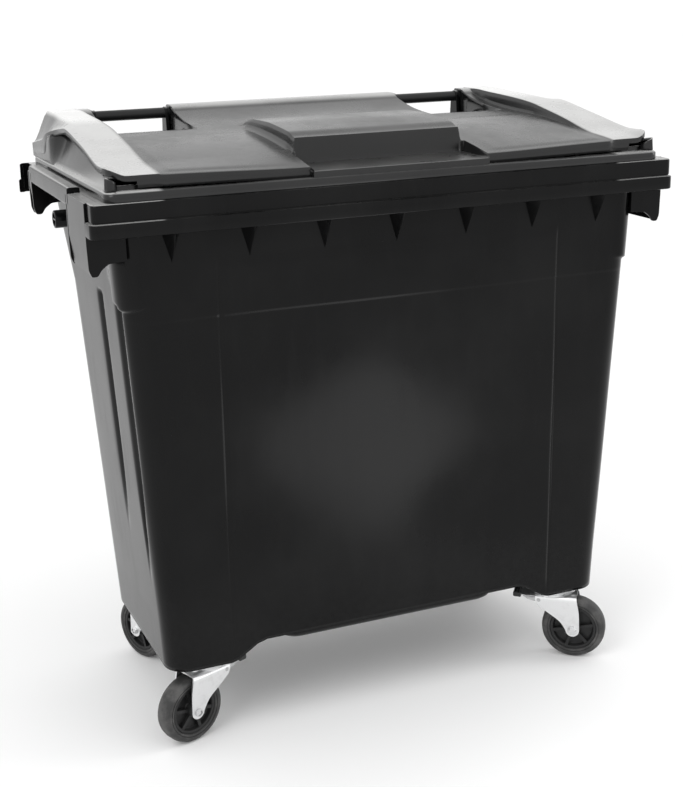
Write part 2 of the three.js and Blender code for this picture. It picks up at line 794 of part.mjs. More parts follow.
function tyre() {
  const r = TREAD_INNER_R + GAP;
  const half = [
    [r, TYRE_HALF - 3],
    [WHEEL_R - 12, TYRE_HALF],
    [WHEEL_R - 4, TYRE_HALF - 3],
    [WHEEL_R, TYRE_HALF - 10],
  ];
  const profile = [...half.map(([a, b]) => [a, -b]), ...[...half].reverse(), [r, 3 - TYRE_HALF]];
  return wheelPiece(profile, 32);
}

function wheelCore() {
  const bore = AXLE_R + GAP;
  const half = [
    [bore, 26],
    [16, 26],
    [19, 8],
    [48, 8],
    [52, TYRE_HALF - 3],
    [TREAD_INNER_R, TYRE_HALF - 3],
  ];
  const profile = [...half.map(([a, b]) => [a, -b]), ...[...half].reverse(), [bore, -26]];
  return wheelPiece(profile, 24);
}

/** The brake pedal: a cranked lever between the fork's noses with its own pivot pin and a turned-up tip. */
function brakePedal() {
  const lever = [
    [-24, 150],
    [-22, 160],
    [-60, 164],
    [-88, 171],
    [-96, 168],
    [-90, 158],
    [-66, 152],
    [-36, 144],
  ];
  const blade = alongY(lever, -22, 22);
  return join(blade, rod("y", PEDAL_PIN_R, -LEG_FACE - 5, LEG_FACE + 5, PEDAL_PIVOT, 12));
}

function mountBolt() {
  const head = rod("z", 7, PLATE_BOTTOM - 5.5, PLATE_BOTTOM - GAP, [0, 0], 6);
  return join(head, rod("z", BOLT_R, PLATE_BOTTOM - 1, SKIRT_BOTTOM + 20, [0, 0], 8));
}

function castors() {
  for (const castor of CASTORS) {
    const { name, x, y, trail, brake } = castor;
    const fixed = new THREE.Group();
    fixed.position.set(x, y, 0);
    group.add(fixed);
    node(`mount_plate_${name}`, mountPlate(), "zinc", fixed);
    node(`kingpin_${name}`, kingpin(), "steel", fixed);
    boltPlaces(castor).forEach(([bx, by], i) => {
      const bolt = node(`mount_bolt_${name}_${i + 1}`, mountBolt(), "bolt");
      bolt.position.set(bx, by, 0);
    });
    const swivel = new THREE.Group();
    swivel.position.set(x, y, 0);
    swivel.rotation.z = THREE.MathUtils.degToRad(trail);
    group.add(swivel);
    node(`fork_${name}`, fork(brake), "zinc", swivel);
    node(`axle_bolt_${name}`, axleBolt(), "bolt", swivel);
    node(`axle_nut_${name}`, axleNut(), "bolt", swivel);
    node(`tyre_${name}`, tyre(), "rubber", swivel);
    node(`wheel_core_${name}`, wheelCore(), "core", swivel);
    if (brake) node(`brake_pedal_${name}`, brakePedal(), "steel", swivel);
  }
}

tub();
lid();
lidBuffers();
handleRods();
trunnions();
drainPlug();
castors();

export default group;
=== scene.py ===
"""The looks of a four-wheeled wheelie bin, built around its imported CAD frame.

Every piece is a surface worked out with numpy in the frame's own metres, dressed in a node
material, and rides on the CAD body that it belongs to. Lengths in the classes are metres unless a
name says otherwise.
"""

import logging
import math
from dataclasses import dataclass, field
from enum import Enum
from typing import Any, Callable, Iterable, Sequence

import bmesh
import bpy
import numpy as np
from mathutils import Matrix, Vector


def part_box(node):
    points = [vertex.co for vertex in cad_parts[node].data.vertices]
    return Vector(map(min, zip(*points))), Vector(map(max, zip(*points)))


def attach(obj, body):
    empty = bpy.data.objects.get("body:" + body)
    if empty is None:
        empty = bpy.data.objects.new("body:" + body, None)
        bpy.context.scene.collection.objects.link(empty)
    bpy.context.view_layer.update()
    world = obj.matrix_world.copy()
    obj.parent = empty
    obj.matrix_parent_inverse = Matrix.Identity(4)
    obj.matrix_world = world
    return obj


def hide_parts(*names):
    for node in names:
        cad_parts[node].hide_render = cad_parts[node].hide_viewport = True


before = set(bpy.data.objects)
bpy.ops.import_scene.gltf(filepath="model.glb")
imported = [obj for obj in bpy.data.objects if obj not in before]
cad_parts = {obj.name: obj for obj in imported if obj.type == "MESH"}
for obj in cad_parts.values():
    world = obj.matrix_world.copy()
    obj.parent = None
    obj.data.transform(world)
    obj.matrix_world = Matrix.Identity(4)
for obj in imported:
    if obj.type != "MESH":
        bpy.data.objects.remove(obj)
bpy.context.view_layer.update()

logging.basicConfig(level=logging.INFO, format="%(message)s")
log = logging.getLogger("bin")

Array = np.ndarray
MM = 0.001


# ------------------------------------------------------------------------------------------- meshes
def smooth(x: Array | float, low: float, high: float) -> Array:
    """The smoothstep ramp from 0 at low to 1 at high.

    Args:
        x: Where to evaluate the ramp.
        low: Where it leaves 0.
        high: Where it reaches 1; it may lie below low for a falling ramp.

    Returns:
        3t^2 - 2t^3 of the clamped share t of the way.
    """
    t = np.clip((np.asarray(x, float) - low) / (high - low), 0.0, 1.0)
    return t * t * (3 - 2 * t)


def curve_through(points: Sequence[tuple[float, float]]) -> Callable[[Array], Array]:
    """A smooth function of one variable through the points, with no overshoot.

    Args:
        points: (x, y) pairs with rising x.

    Returns:
        The monotone cubic Hermite interpolant, flat beyond its ends' slopes.
    """
    xs, ys = (np.array(v, float) for v in zip(*points))
    steps = np.diff(xs)
    slopes = np.diff(ys) / steps
    inner = np.where(slopes[:-1] * slopes[1:] > 0,
                     2 / (1 / np.where(slopes[:-1] == 0, 1, slopes[:-1])
                     + 1 / np.where(slopes[1:] == 0, 1, slopes[1:])), 0.0)
    tangents = np.concatenate([[slopes[0]], inner, [slopes[-1]]])

    def at(x: Array) -> Array:
        """The interpolant's value at x."""
        x = np.clip(np.asarray(x, float), xs[0], xs[-1])
        i = np.clip(np.searchsorted(xs, x, side="right") - 1, 0, len(steps) - 1)
        t = (x - xs[i]) / steps[i]
        a, b = ys[i], ys[i + 1]
        ta, tb = tangents[i] * steps[i], tangents[i + 1] * steps[i]
        return ((2 * t**3 - 3 * t**2 + 1) * a + (t**3 - 2 * t**2 + t) * ta
                + (3 * t**2 - 2 * t**3) * b + (t**3 - t**2) * tb)

    return at


def lines(*stretches: tuple[float, float, int]) -> Array:
    """Grid lines made of even stretches.

    Args:
        stretches: (start, end, count) of each; a line that two stretches share is kept once.

    Returns:
        The lines' places in rising order.
    """
    return np.unique(np.concatenate([np.linspace(a, b, n) for a, b, n in stretches]).round(6))


def arc(cx: float, cy: float, radius: float, start: float, end: float, steps: int) -> Array:
    """Points (n, 2) of a circular arc, angles in degrees."""
    a = np.radians(np.linspace(start, end, steps + 1))
    return np.stack([cx + radius * np.cos(a), cy + radius * np.sin(a)], -1)


@dataclass
class Skin:
    """A mesh being made: blocks of vertices with the faces between them."""

    vertices: list[Array] = field(default_factory=list)
    faces: list[Array] = field(default_factory=list)
    count: int = 0

    def grid(self, points: Array, wrap_rows: bool = False, wrap_columns: bool = False,
             keep: Array | None = None) -> "Skin":
        """Adds a surface of quads over a grid of points.

        Args:
            points: (rows, columns, 3) places.
            wrap_rows: Whether the last row joins the first.
            wrap_columns: Whether the last column joins the first.
            keep: Which quads to make, as booleans (rows - 1, columns - 1) or wrapped sizes; all by
                default.

        Returns:
            The skin, so that calls chain.
        """
        rows, columns = points.shape[:2]
        r = np.arange(rows if wrap_rows else rows - 1)[:, None]
        c = np.arange(columns if wrap_columns else columns - 1)[None, :]
        r2, c2 = (r + 1) % rows, (c + 1) % columns
        quads = np.stack([r * columns + c, r * columns + c2, r2 * columns + c2, r2 * columns + c],
                         -1)
        if keep is not None:
            quads = quads[keep]
        self.vertices.append(points.reshape(-1, 3))
        self.faces.append(quads.reshape(-1, 4) + self.count)
        self.count += rows * columns
        return self

    def fan(self, ring: Array) -> "Skin":
        """Closes a ring of points (n, 3) with triangles to its middle.

        Args:
            ring: The ring, in order.

        Returns:
            The skin, so that calls chain.
        """
        n = len(ring)
        i = np.arange(n)
        self.vertices.append(np.vstack([ring, ring.mean(0)]))
        self.faces.append(np.stack([i, (i + 1) % n, np.full(n, n)], -1) + self.count)
        self.count += n + 1
        return self

    def piece(self, name: str, closed: bool = True, sharp: float = 32.0,
              weld: float = 2e-6) -> bpy.types.Object:
        """Makes the object, with doubles merged and, on a closed skin, faces turned outwards.

        Args:
            name: The object's name.
            closed: Whether the skin is closed; an open one keeps the way its faces were laid.
            sharp: Edges that turn by more than this, in degrees, are shaded as creases.
            weld: Vertices closer than this become one.

        Returns:
            The new object at the origin, linked to the scene.
        """
        places = np.vstack(self.vertices).astype(np.float32)
        mesh = bpy.data.meshes.new(name)
        mesh.vertices.add(len(places))
        mesh.vertices.foreach_set("co", places.ravel())
        sizes = np.concatenate([np.full(len(f), f.shape[1]) for f in self.faces])
        corners = np.concatenate([f.ravel() for f in self.faces]).astype(np.int32)
        mesh.loops.add(len(corners))
        mesh.loops.foreach_set("vertex_index", corners)
        mesh.polygons.add(len(sizes))
        mesh.polygons.foreach_set("loop_start",
                                  np.concatenate([[0], np.cumsum(sizes)[:-1]]).astype(np.int32))
        mesh.update(calc_edges=True)
        mesh.validate()
        work = bmesh.new()
        work.from_mesh(mesh)
        bmesh.ops.remove_doubles(work, verts=work.verts, dist=weld)
        bmesh.ops.dissolve_degenerate(work, edges=work.edges, dist=1e-7)
        if closed:
            bmesh.ops.recalc_face_normals(work, faces=work.faces)
        work.to_mesh(mesh)
        work.free()
        mesh.polygons.foreach_set("use_smooth", np.ones(len(mesh.polygons), bool))
        mesh.set_sharp_from_angle(angle=math.radians(sharp))
        made = bpy.data.objects.new(name, mesh)
        bpy.context.scene.collection.objects.link(made)
        return made


def bevelled(piece: bpy.types.Object, width: float, segments: int = 2) -> bpy.types.Object:
    """Rounds a piece's sharp edges with a live Bevel modifier.

    Args:
        piece: The object.
        width: Radius of the edges.
        segments: Faces across each rounded edge.

    Returns:
        The same object.
    """
    mod = piece.modifiers.new("edges", "BEVEL")
    mod.width = width
    mod.segments = segments
    mod.limit_method = "ANGLE"
    mod.angle_limit = math.radians(32)
    mod.harden_normals = True
    return piece


def walled(piece: bpy.types.Object, thickness: float, offset: float = -1.0) -> bpy.types.Object:
    """Gives an open skin its wall with a live Solidify modifier.

    Args:
        piece: The object.
        thickness: Wall thickness.
        offset: -1 puts the wall behind the faces.

    Returns:
        The same object.
    """
    mod = piece.modifiers.new("wall", "SOLIDIFY")
    mod.thickness = thickness
    mod.offset = offset
    mod.use_even_offset = False
    return piece


def prism(outline: Array, low: float, high: float, axis: str) -> Skin:
    """A closed prism: an outline carried straight along an axis.

    Args:
        outline: (n, 2) points: (y, z) for axis x, (x, z) for axis y and (x, y) for axis z.
        low: Where it starts along the axis.
        high: Where it ends.
        axis: "x", "y" or "z".

    Returns:
        The closed skin.
    """
    order = {"x": (2, 0, 1), "y": (0, 2, 1), "z": (0, 1, 2)}[axis]
    rings = []
    for level in (low, high):
        flat = np.column_stack([outline, np.full(len(outline), level)])
        rings.append(flat[:, order])
    skin = Skin().grid(np.stack(rings), wrap_columns=True)
    return skin.fan(rings[0]).fan(rings[1])


def block(x0: float, x1: float, y0: float, y1: float, z0: float, z1: float) -> Skin:
    """A closed box between two corners."""
    return prism(np.array([[x0, y0], [x1, y0], [x1, y1], [x0, y1]]), z0, z1, "z")


def merged(skins: Iterable[Skin]) -> Skin:
    """Several skins as one, for pieces that are moulded or welded together."""
    whole = Skin()
    for skin in skins:
        whole.vertices += skin.vertices
        whole.faces += [f + whole.count for f in skin.faces]
        whole.count += skin.count
    return whole


def moved(skin: Skin, change: Callable[[Array], Array]) -> Skin:
    """A skin with every vertex passed through a function of the whole (n, 3) array."""
    return Skin([change(v) for v in skin.vertices], skin.faces, skin.count)


def turned(profile: Array, sides: int = 48) -> Skin:
    """A surface of revolution about Z.

    Args:
        profile: (n, 2) points of (radius, height). It starts and ends on the axis, or closes on
            itself.
        sides: Steps around.

    Returns:
        The closed skin: point j of the profile, at angle a, is (r cos a, r sin a, h).
    """
    a = np.linspace(0, 2 * math.pi, sides, endpoint=False)[None, :]
    r, h = profile[:, :1], profile[:, 1:]
    grid = np.stack([r * np.cos(a), r * np.sin(a), h + 0 * a], -1)
    return Skin().grid(grid, wrap_columns=True)


def closed_ring(profile: Array, sides: int = 72) -> Skin:
    """A ring without ends: a closed profile of radius and height carried round the Z axis."""
    points = turned(profile, sides).vertices[0].reshape(len(profile), sides, 3)
    return Skin().grid(points, wrap_rows=True, wrap_columns=True)


def rounded(points: Sequence[tuple[float, float]], radius: float, steps: int = 4,
            closed: bool = True) -> Array:
    """An outline with its corners rounded.

    Args:
        points: The corners in order.
        radius: Radius asked for; a short side takes a smaller one.
        steps: Points across each corner.
        closed: Whether the last corner joins the first; the ends of an open line stay as they are.

    Returns:
        (n, 2) points. Each corner becomes a quadratic curve that is tangent to both its sides.
    """
    p = np.asarray(points, float)
    n = len(p)
    t = np.linspace(0, 1, steps + 1)[:, None]
    made = []
    for i in range(n):
        if not closed and i in (0, n - 1):
            made.append(p[i][None])
            continue
        back, ahead = p[i - 1] - p[i], p[(i + 1) % n] - p[i]
        reach = min(radius, 0.45 * np.linalg.norm(back), 0.45 * np.linalg.norm(ahead))
        a = p[i] + back / np.linalg.norm(back) * reach
        b = p[i] + ahead / np.linalg.norm(ahead) * reach
        made.append((1 - t) ** 2 * a + 2 * t * (1 - t) * p[i] + t**2 * b)
    return np.vstack(made)


def swept(path: Array, profile: Array) -> Skin:
    """A closed bar: a closed profile carried along an open path in plan.

    Args:
        path: (n, 2) points of the path, with the outside on its right hand.
        profile: (m, 2) points of (distance outwards, height).

    Returns:
        The closed skin. At each path point the profile stands square to the path, stretched by the
        mitre there.
    """
    step = np.diff(path, axis=0)
    step /= np.linalg.norm(step, axis=1)[:, None]
    before, after = np.vstack([step[:1], step]), np.vstack([step, step[-1:]])
    along = before + after
    along /= np.linalg.norm(along, axis=1)[:, None]
    out = np.column_stack([along[:, 1], -along[:, 0]]) / (before * along).sum(1)[:, None]
    flat = path[:, None, :] + out[:, None, :] * profile[None, :, :1]
    height = np.broadcast_to(profile[None, :, 1:], (len(path), len(profile), 1))
    grid = np.concatenate([flat, height], -1)
    return Skin().grid(grid, wrap_columns=True).fan(grid[0]).fan(grid[-1])


# ---------------------------------------------------------------------------------------- materials
class Sock:
    """A node's output or a plain number that Python's operators work on, through Math nodes."""

    def __init__(self, shader: "Shader", value: Any) -> None:
        """Keeps the shader that new nodes go to, and the socket or number."""
        self.shader = shader
        self.value = value

    def _math(self, operation: str, *values: Any, clamp: bool = False) -> "Sock":
        """One Math node on this value and others."""
        return self.shader.node("ShaderNodeMath", {"operation": operation, "use_clamp": clamp},
                                dict(enumerate(values)))

    def __add__(self, other: Any) -> "Sock":
        """self + other."""
        return self._math("ADD", self, other)

    __radd__ = __add__

    def __mul__(self, other: Any) -> "Sock":
        """self * other."""
        return self._math("MULTIPLY", self, other)

    __rmul__ = __mul__

    def ramp(self, low: float, high: float) -> "Sock":
        """The value's clamped smooth share of the way from low to high."""
        return self.shader.node(
            "ShaderNodeMapRange",
            {"interpolation_type": "SMOOTHSTEP"},
            {"Value": self, "From Min": low, "From Max": high, "To Min": 0.0, "To Max": 1.0},
            "Result",
        )

    def clamped(self) -> "Sock":
        """The value held between 0 and 1."""
        return self._math("ADD", self, 0.0, clamp=True)


class Shader:
    """A material's node tree, with one method that makes any node."""

    def __init__(self, name: str) -> None:
        """Starts a material that holds only a Principled surface."""
        self.material = bpy.data.materials.new(name)
        self.material.use_nodes = True
        self.tree = self.material.node_tree
        self.tree.nodes.clear()
        self.surface = self.tree.nodes.new("ShaderNodeBsdfPrincipled")
        output = self.tree.nodes.new("ShaderNodeOutputMaterial")
        self.tree.links.new(self.surface.outputs["BSDF"], output.inputs["Surface"])

    def feed(self, socket: bpy.types.NodeSocket, value: Any) -> None:
        """Links or sets one input.

        Args:
            socket: The input.
            value: A Sock, a number, or a tuple for a colour or a vector.
        """
        if isinstance(value, Sock) and isinstance(value.value, bpy.types.NodeSocket):
            self.tree.links.new(value.value, socket)
            return
        plain = value.value if isinstance(value, Sock) else value
        if isinstance(plain, tuple) and len(plain) == 3 and socket.type == "RGBA":
            plain = (*plain, 1.0)
        socket.default_value = plain

    def node(self, kind: str, settings: dict[str, Any] | None = None,
             inputs: dict[Any, Any] | None = None,
             output: str | int = 0) -> Sock:
        """Makes a node.

        Args:
            kind: The node's type.
            settings: Its own settings, set first.
            inputs: Values or links of its inputs, by name or number.
            output: Which output to hand back.

        Returns:
            That output.
        """
        made = self.tree.nodes.new(kind)
        for key, value in (settings or {}).items():
            setattr(made, key, value)
        for key, value in (inputs or {}).items():
            self.feed(made.inputs[key], value)
        return Sock(self, made.outputs[output])

    def place(self, scale: tuple[float, float, float] = (1, 1, 1)) -> Sock:
        """Object coordinates, stretched."""
        where = self.node("ShaderNodeTexCoord", output="Object")
        return self.node("ShaderNodeMapping", inputs={"Vector": where, "Scale": scale})

    def noise(self, scale: float, detail: float = 4.0, rough: float = 0.55,
              stretch: tuple[float, float, float] = (1, 1, 1), seed: float = 0.0) -> Sock:
        """Fractal noise over the object.

        Args:
            scale: Features per metre.
            detail: Octaves.
            rough: How strong the finer octaves are.
            stretch: Factors on the three coordinates.
            seed: Slice of the 4-D noise.

        Returns:
            Its value, about 0.5 in the mean.
        """
        return self.node(
            "ShaderNodeTexNoise",
            {"noise_dimensions": "4D"},
            {"Vector": self.place(stretch), "W": seed, "Scale": scale, "Detail": detail,
             "Roughness": rough},
        )

    def blend(self, share: Any, first: Any, second: Any) -> Sock:
        """A mix of two colours by a share from 0 to 1."""
        return self.node("ShaderNodeMix", {"data_type": "RGBA"}, {0: share, 6: first, 7: second}, 2)

    def upward(self) -> Sock:
        """How far the surface faces up on the closed bin: 1 on a level top, 0 on a wall, -1
        underneath.
        """
        normal = self.node("ShaderNodeTexCoord", output="Normal")
        return self.node("ShaderNodeSeparateXYZ", inputs={0: normal}, output="Z")

    def height(self) -> Sock:
        """Height above the ground."""
        return self.node("ShaderNodeSeparateXYZ", inputs={0: self.place()}, output="Z")

    def across(self) -> Sock:
        """Distance from the bin's middle plane."""
        x = self.node("ShaderNodeSeparateXYZ", inputs={0: self.place()}, output="X")
        return self.node("ShaderNodeMath", {"operation": "ABSOLUTE"}, {0: x})

    def bump(self, height: Any, distance: float, strength: float = 1.0,
             below: Sock | None = None) -> Sock:
        """A Bump node.

        Args:
            height: The pattern.
            distance: Its depth.
            strength: Share of it.
            below: A coarser bump to add this one to.

        Returns:
            The bumped normal.
        """
        inputs = {"Height": height, "Distance": distance, "Strength": strength}
        if below is not None:
            inputs["Normal"] = below
        return self.node("ShaderNodeBump", inputs=inputs)

    def finish(self, **values: Any) -> bpy.types.Material:
        """Feeds the surface's inputs, with _ for a space in their names, and hands back the
        material.
        """
        for key, value in values.items():
            self.feed(self.surface.inputs[key.replace("_", " ")], value)
        return self.material


@dataclass(frozen=True)
class MouldedPlastic:
    """Black moulded polyethylene: a soft gloss, faint mould ripple, a thin haze that is partly a
    real film and partly painted reflection (soft pale blotches in the colour standing in for
    reflected light), and dust where it faces up.
    """

    name: str
    shade: float
    gloss: float  # roughness of clean plastic
    dust: float  # how grey level tops are
    specular: float = 0.42
    # share of the pale haze in the colour: partly a real film, partly painted reflection blotches
    haze_and_painted_reflection: float = 0.01
    faded: float = 0.0  # how far the sun has bleached the level tops at the bin's ends

    def material(self) -> bpy.types.Material:
        """Builds the node material."""
        s = Shader(self.name)
        cloud = s.noise(4.0, 4.0, 0.55, seed=1.3)
        fine = s.noise(70.0, 5.0, 0.6, seed=2.1)
        streaks = s.noise(30.0, 4.0, 0.55, (1.0, 1.0, 0.15), 4.2)
        top = s.upward().ramp(0.55, 0.97)
        film = (cloud.ramp(0.30, 0.75) * 0.65 + fine.ramp(0.3, 0.8) * 0.35).clamped()
        dusty = (top * film * self.dust).clamped()
        # painted reflection: soft pale blotches and streaks in the colour stand in for reflected
        # light, together with a real thin film
        haze_and_painted_reflection = (cloud.ramp(0.35, 0.8) * self.haze_and_painted_reflection
                + streaks.ramp(0.5, 0.8) * self.haze_and_painted_reflection * 0.4).clamped()
        grime = (s.height().ramp(0.50, 0.16) * fine.ramp(0.2, 0.9) * 0.012).clamped()
        clean = (self.shade, self.shade * 1.01, self.shade * 1.05)
        color = s.blend((haze_and_painted_reflection + grime + dusty).clamped(), clean, (0.34, 0.34, 0.335))
        if self.faded:
            ends = (s.across().ramp(0.527, 0.542) * s.height().ramp(1.20, 1.24)
                    + s.height().ramp(1.374, 1.383) * 0.7)
            patchy = cloud.ramp(0.3, 0.7) * 0.3 + 0.7
            color = s.blend((ends * top * patchy * self.faded).clamped(), color, (0.78, 0.78, 0.77))
        roughness = (cloud.ramp(0.35, 0.7) * 0.06 + streaks.ramp(0.45, 0.7) * 0.03 + dusty * 0.9
                     + self.gloss).clamped()
        ripple = s.bump(s.noise(9.0, 2.0, 0.4, seed=3.3), 0.0012, 0.3)
        skin = s.bump(s.noise(520.0, 2.0, 0.5, seed=5.5), 0.00006, 0.5, ripple)
        return s.finish(Base_Color=color, Roughness=roughness, Normal=skin, IOR=1.5,
                        Specular_IOR_Level=self.specular)


@dataclass(frozen=True)
class PlatedSteel:
    """Zinc-plated pressed steel: bright, cloudy in its gloss, with fine rolling lines and a few
    dull specks.
    """

    name: str
    shade: float
    gloss: float
    tarnish: float = 0.3

    def material(self) -> bpy.types.Material:
        """Builds the node material."""
        s = Shader(self.name)
        cloud = s.noise(45.0, 5.0, 0.6, seed=1.7)
        specks = s.noise(420.0, 3.0, 0.6, seed=3.1).ramp(0.62, 0.72)
        rolled = s.noise(700.0, 2.0, 0.5, (1.0, 1.0, 0.06), 5.9)
        dull = (cloud.ramp(0.5, 0.75) * self.tarnish + specks * self.tarnish * 0.5).clamped()
        color = s.blend(dull, (self.shade, self.shade * 1.004, self.shade * 1.01),
                        (self.shade * 0.55,) * 3)
        roughness = (dull * 0.35 + rolled * 0.08 + self.gloss).clamped()
        normal = s.bump(rolled, 0.00004, 0.4, s.bump(cloud, 0.0003, 0.3))
        return s.finish(Base_Color=color, Metallic=1.0, Roughness=roughness, Normal=normal)


@dataclass(frozen=True)
class Rubber:
    """Solid rubber: matt and dark, greyer where it has rolled in dust, with a fine grain."""

    name: str
    shade: float
    dust: float = 0.35

    def material(self) -> bpy.types.Material:
        """Builds the node material."""
        s = Shader(self.name)
        cloud = s.noise(26.0, 5.0, 0.65, seed=2.7)
        grain = s.noise(900.0, 3.0, 0.6, seed=7.7)
        dusty = (cloud.ramp(0.42, 0.7) * self.dust).clamped()
        color = s.blend(dusty, (self.shade,) * 3, (0.21, 0.205, 0.2))
        roughness = (dusty * 0.3 + grain * 0.1 + 0.5).clamped()
        normal = s.bump(grain, 0.00015, 0.5, s.bump(cloud, 0.0005, 0.3))
        return s.finish(Base_Color=color, Roughness=roughness, Normal=normal,
                        Specular_IOR_Level=0.4)


class Slot(Enum):
    """The record's material slots, each with its finish."""

    TUB = ("tub_plastic", MouldedPlastic("tub_plastic_look", 0.0032, 0.15, 0.10, 0.13, 0.009, 0.50))
    LID = ("lid_plastic", MouldedPlastic("lid_plastic_look", 0.006, 0.19, 0.20, 0.42, 0.012, 0.72))
    ROD = ("rod_plastic", MouldedPlastic("rod_plastic_look", 0.010, 0.36, 0.06, 0.30, 0.012))
    SEAL = ("seal_rubber", Rubber("seal_rubber_look", 0.02, 0.15))
    TYRE = ("tyre_rubber", Rubber("tyre_rubber_look", 0.026, 0.3))
    CORE = ("wheel_plastic", MouldedPlastic("wheel_plastic_look", 0.010, 0.4, 0.05, 0.3, 0.02))
    ZINC = ("zinc_steel", PlatedSteel("zinc_steel_look", 0.78, 0.27, 0.25))
    FASTENER = ("fastener_steel", PlatedSteel("fastener_steel_look", 0.7, 0.24, 0.4))
    PEDAL = ("pedal_steel", PlatedSteel("pedal_steel_look", 0.5, 0.34, 0.5))

    @property
    def look(self) -> bpy.types.Material:
        """The slot's material, made the first time it is asked for."""
        finish = self.value[1]
        return bpy.data.materials.get(finish.name) or finish.material()


def dress(piece: bpy.types.Object, slot: Slot, body: str,
          replaces: Sequence[str] = ()) -> bpy.types.Object:
    """Gives a new piece its finish and hangs it on its body.

    Args:
        piece: The object.
        slot: Its finish.
        body: The CAD body that it moves with.
        replaces: CAD nodes that it stands for.

    Returns:
        The same object.
    """
    piece.data.materials.clear()
    piece.data.materials.append(slot.look)
    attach(piece, body)
    if replaces:
        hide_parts(*replaces)
    log.info("%-34s %-12s %6d faces", piece.name, body, len(piece.data.polygons))
    return piece


def dress_cad(node: str, slot: Slot) -> None:
    """Gives a CAD node that stays in view its node material."""
    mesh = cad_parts[node].data
    mesh.materials.clear()
    mesh.materials.append(slot.look)


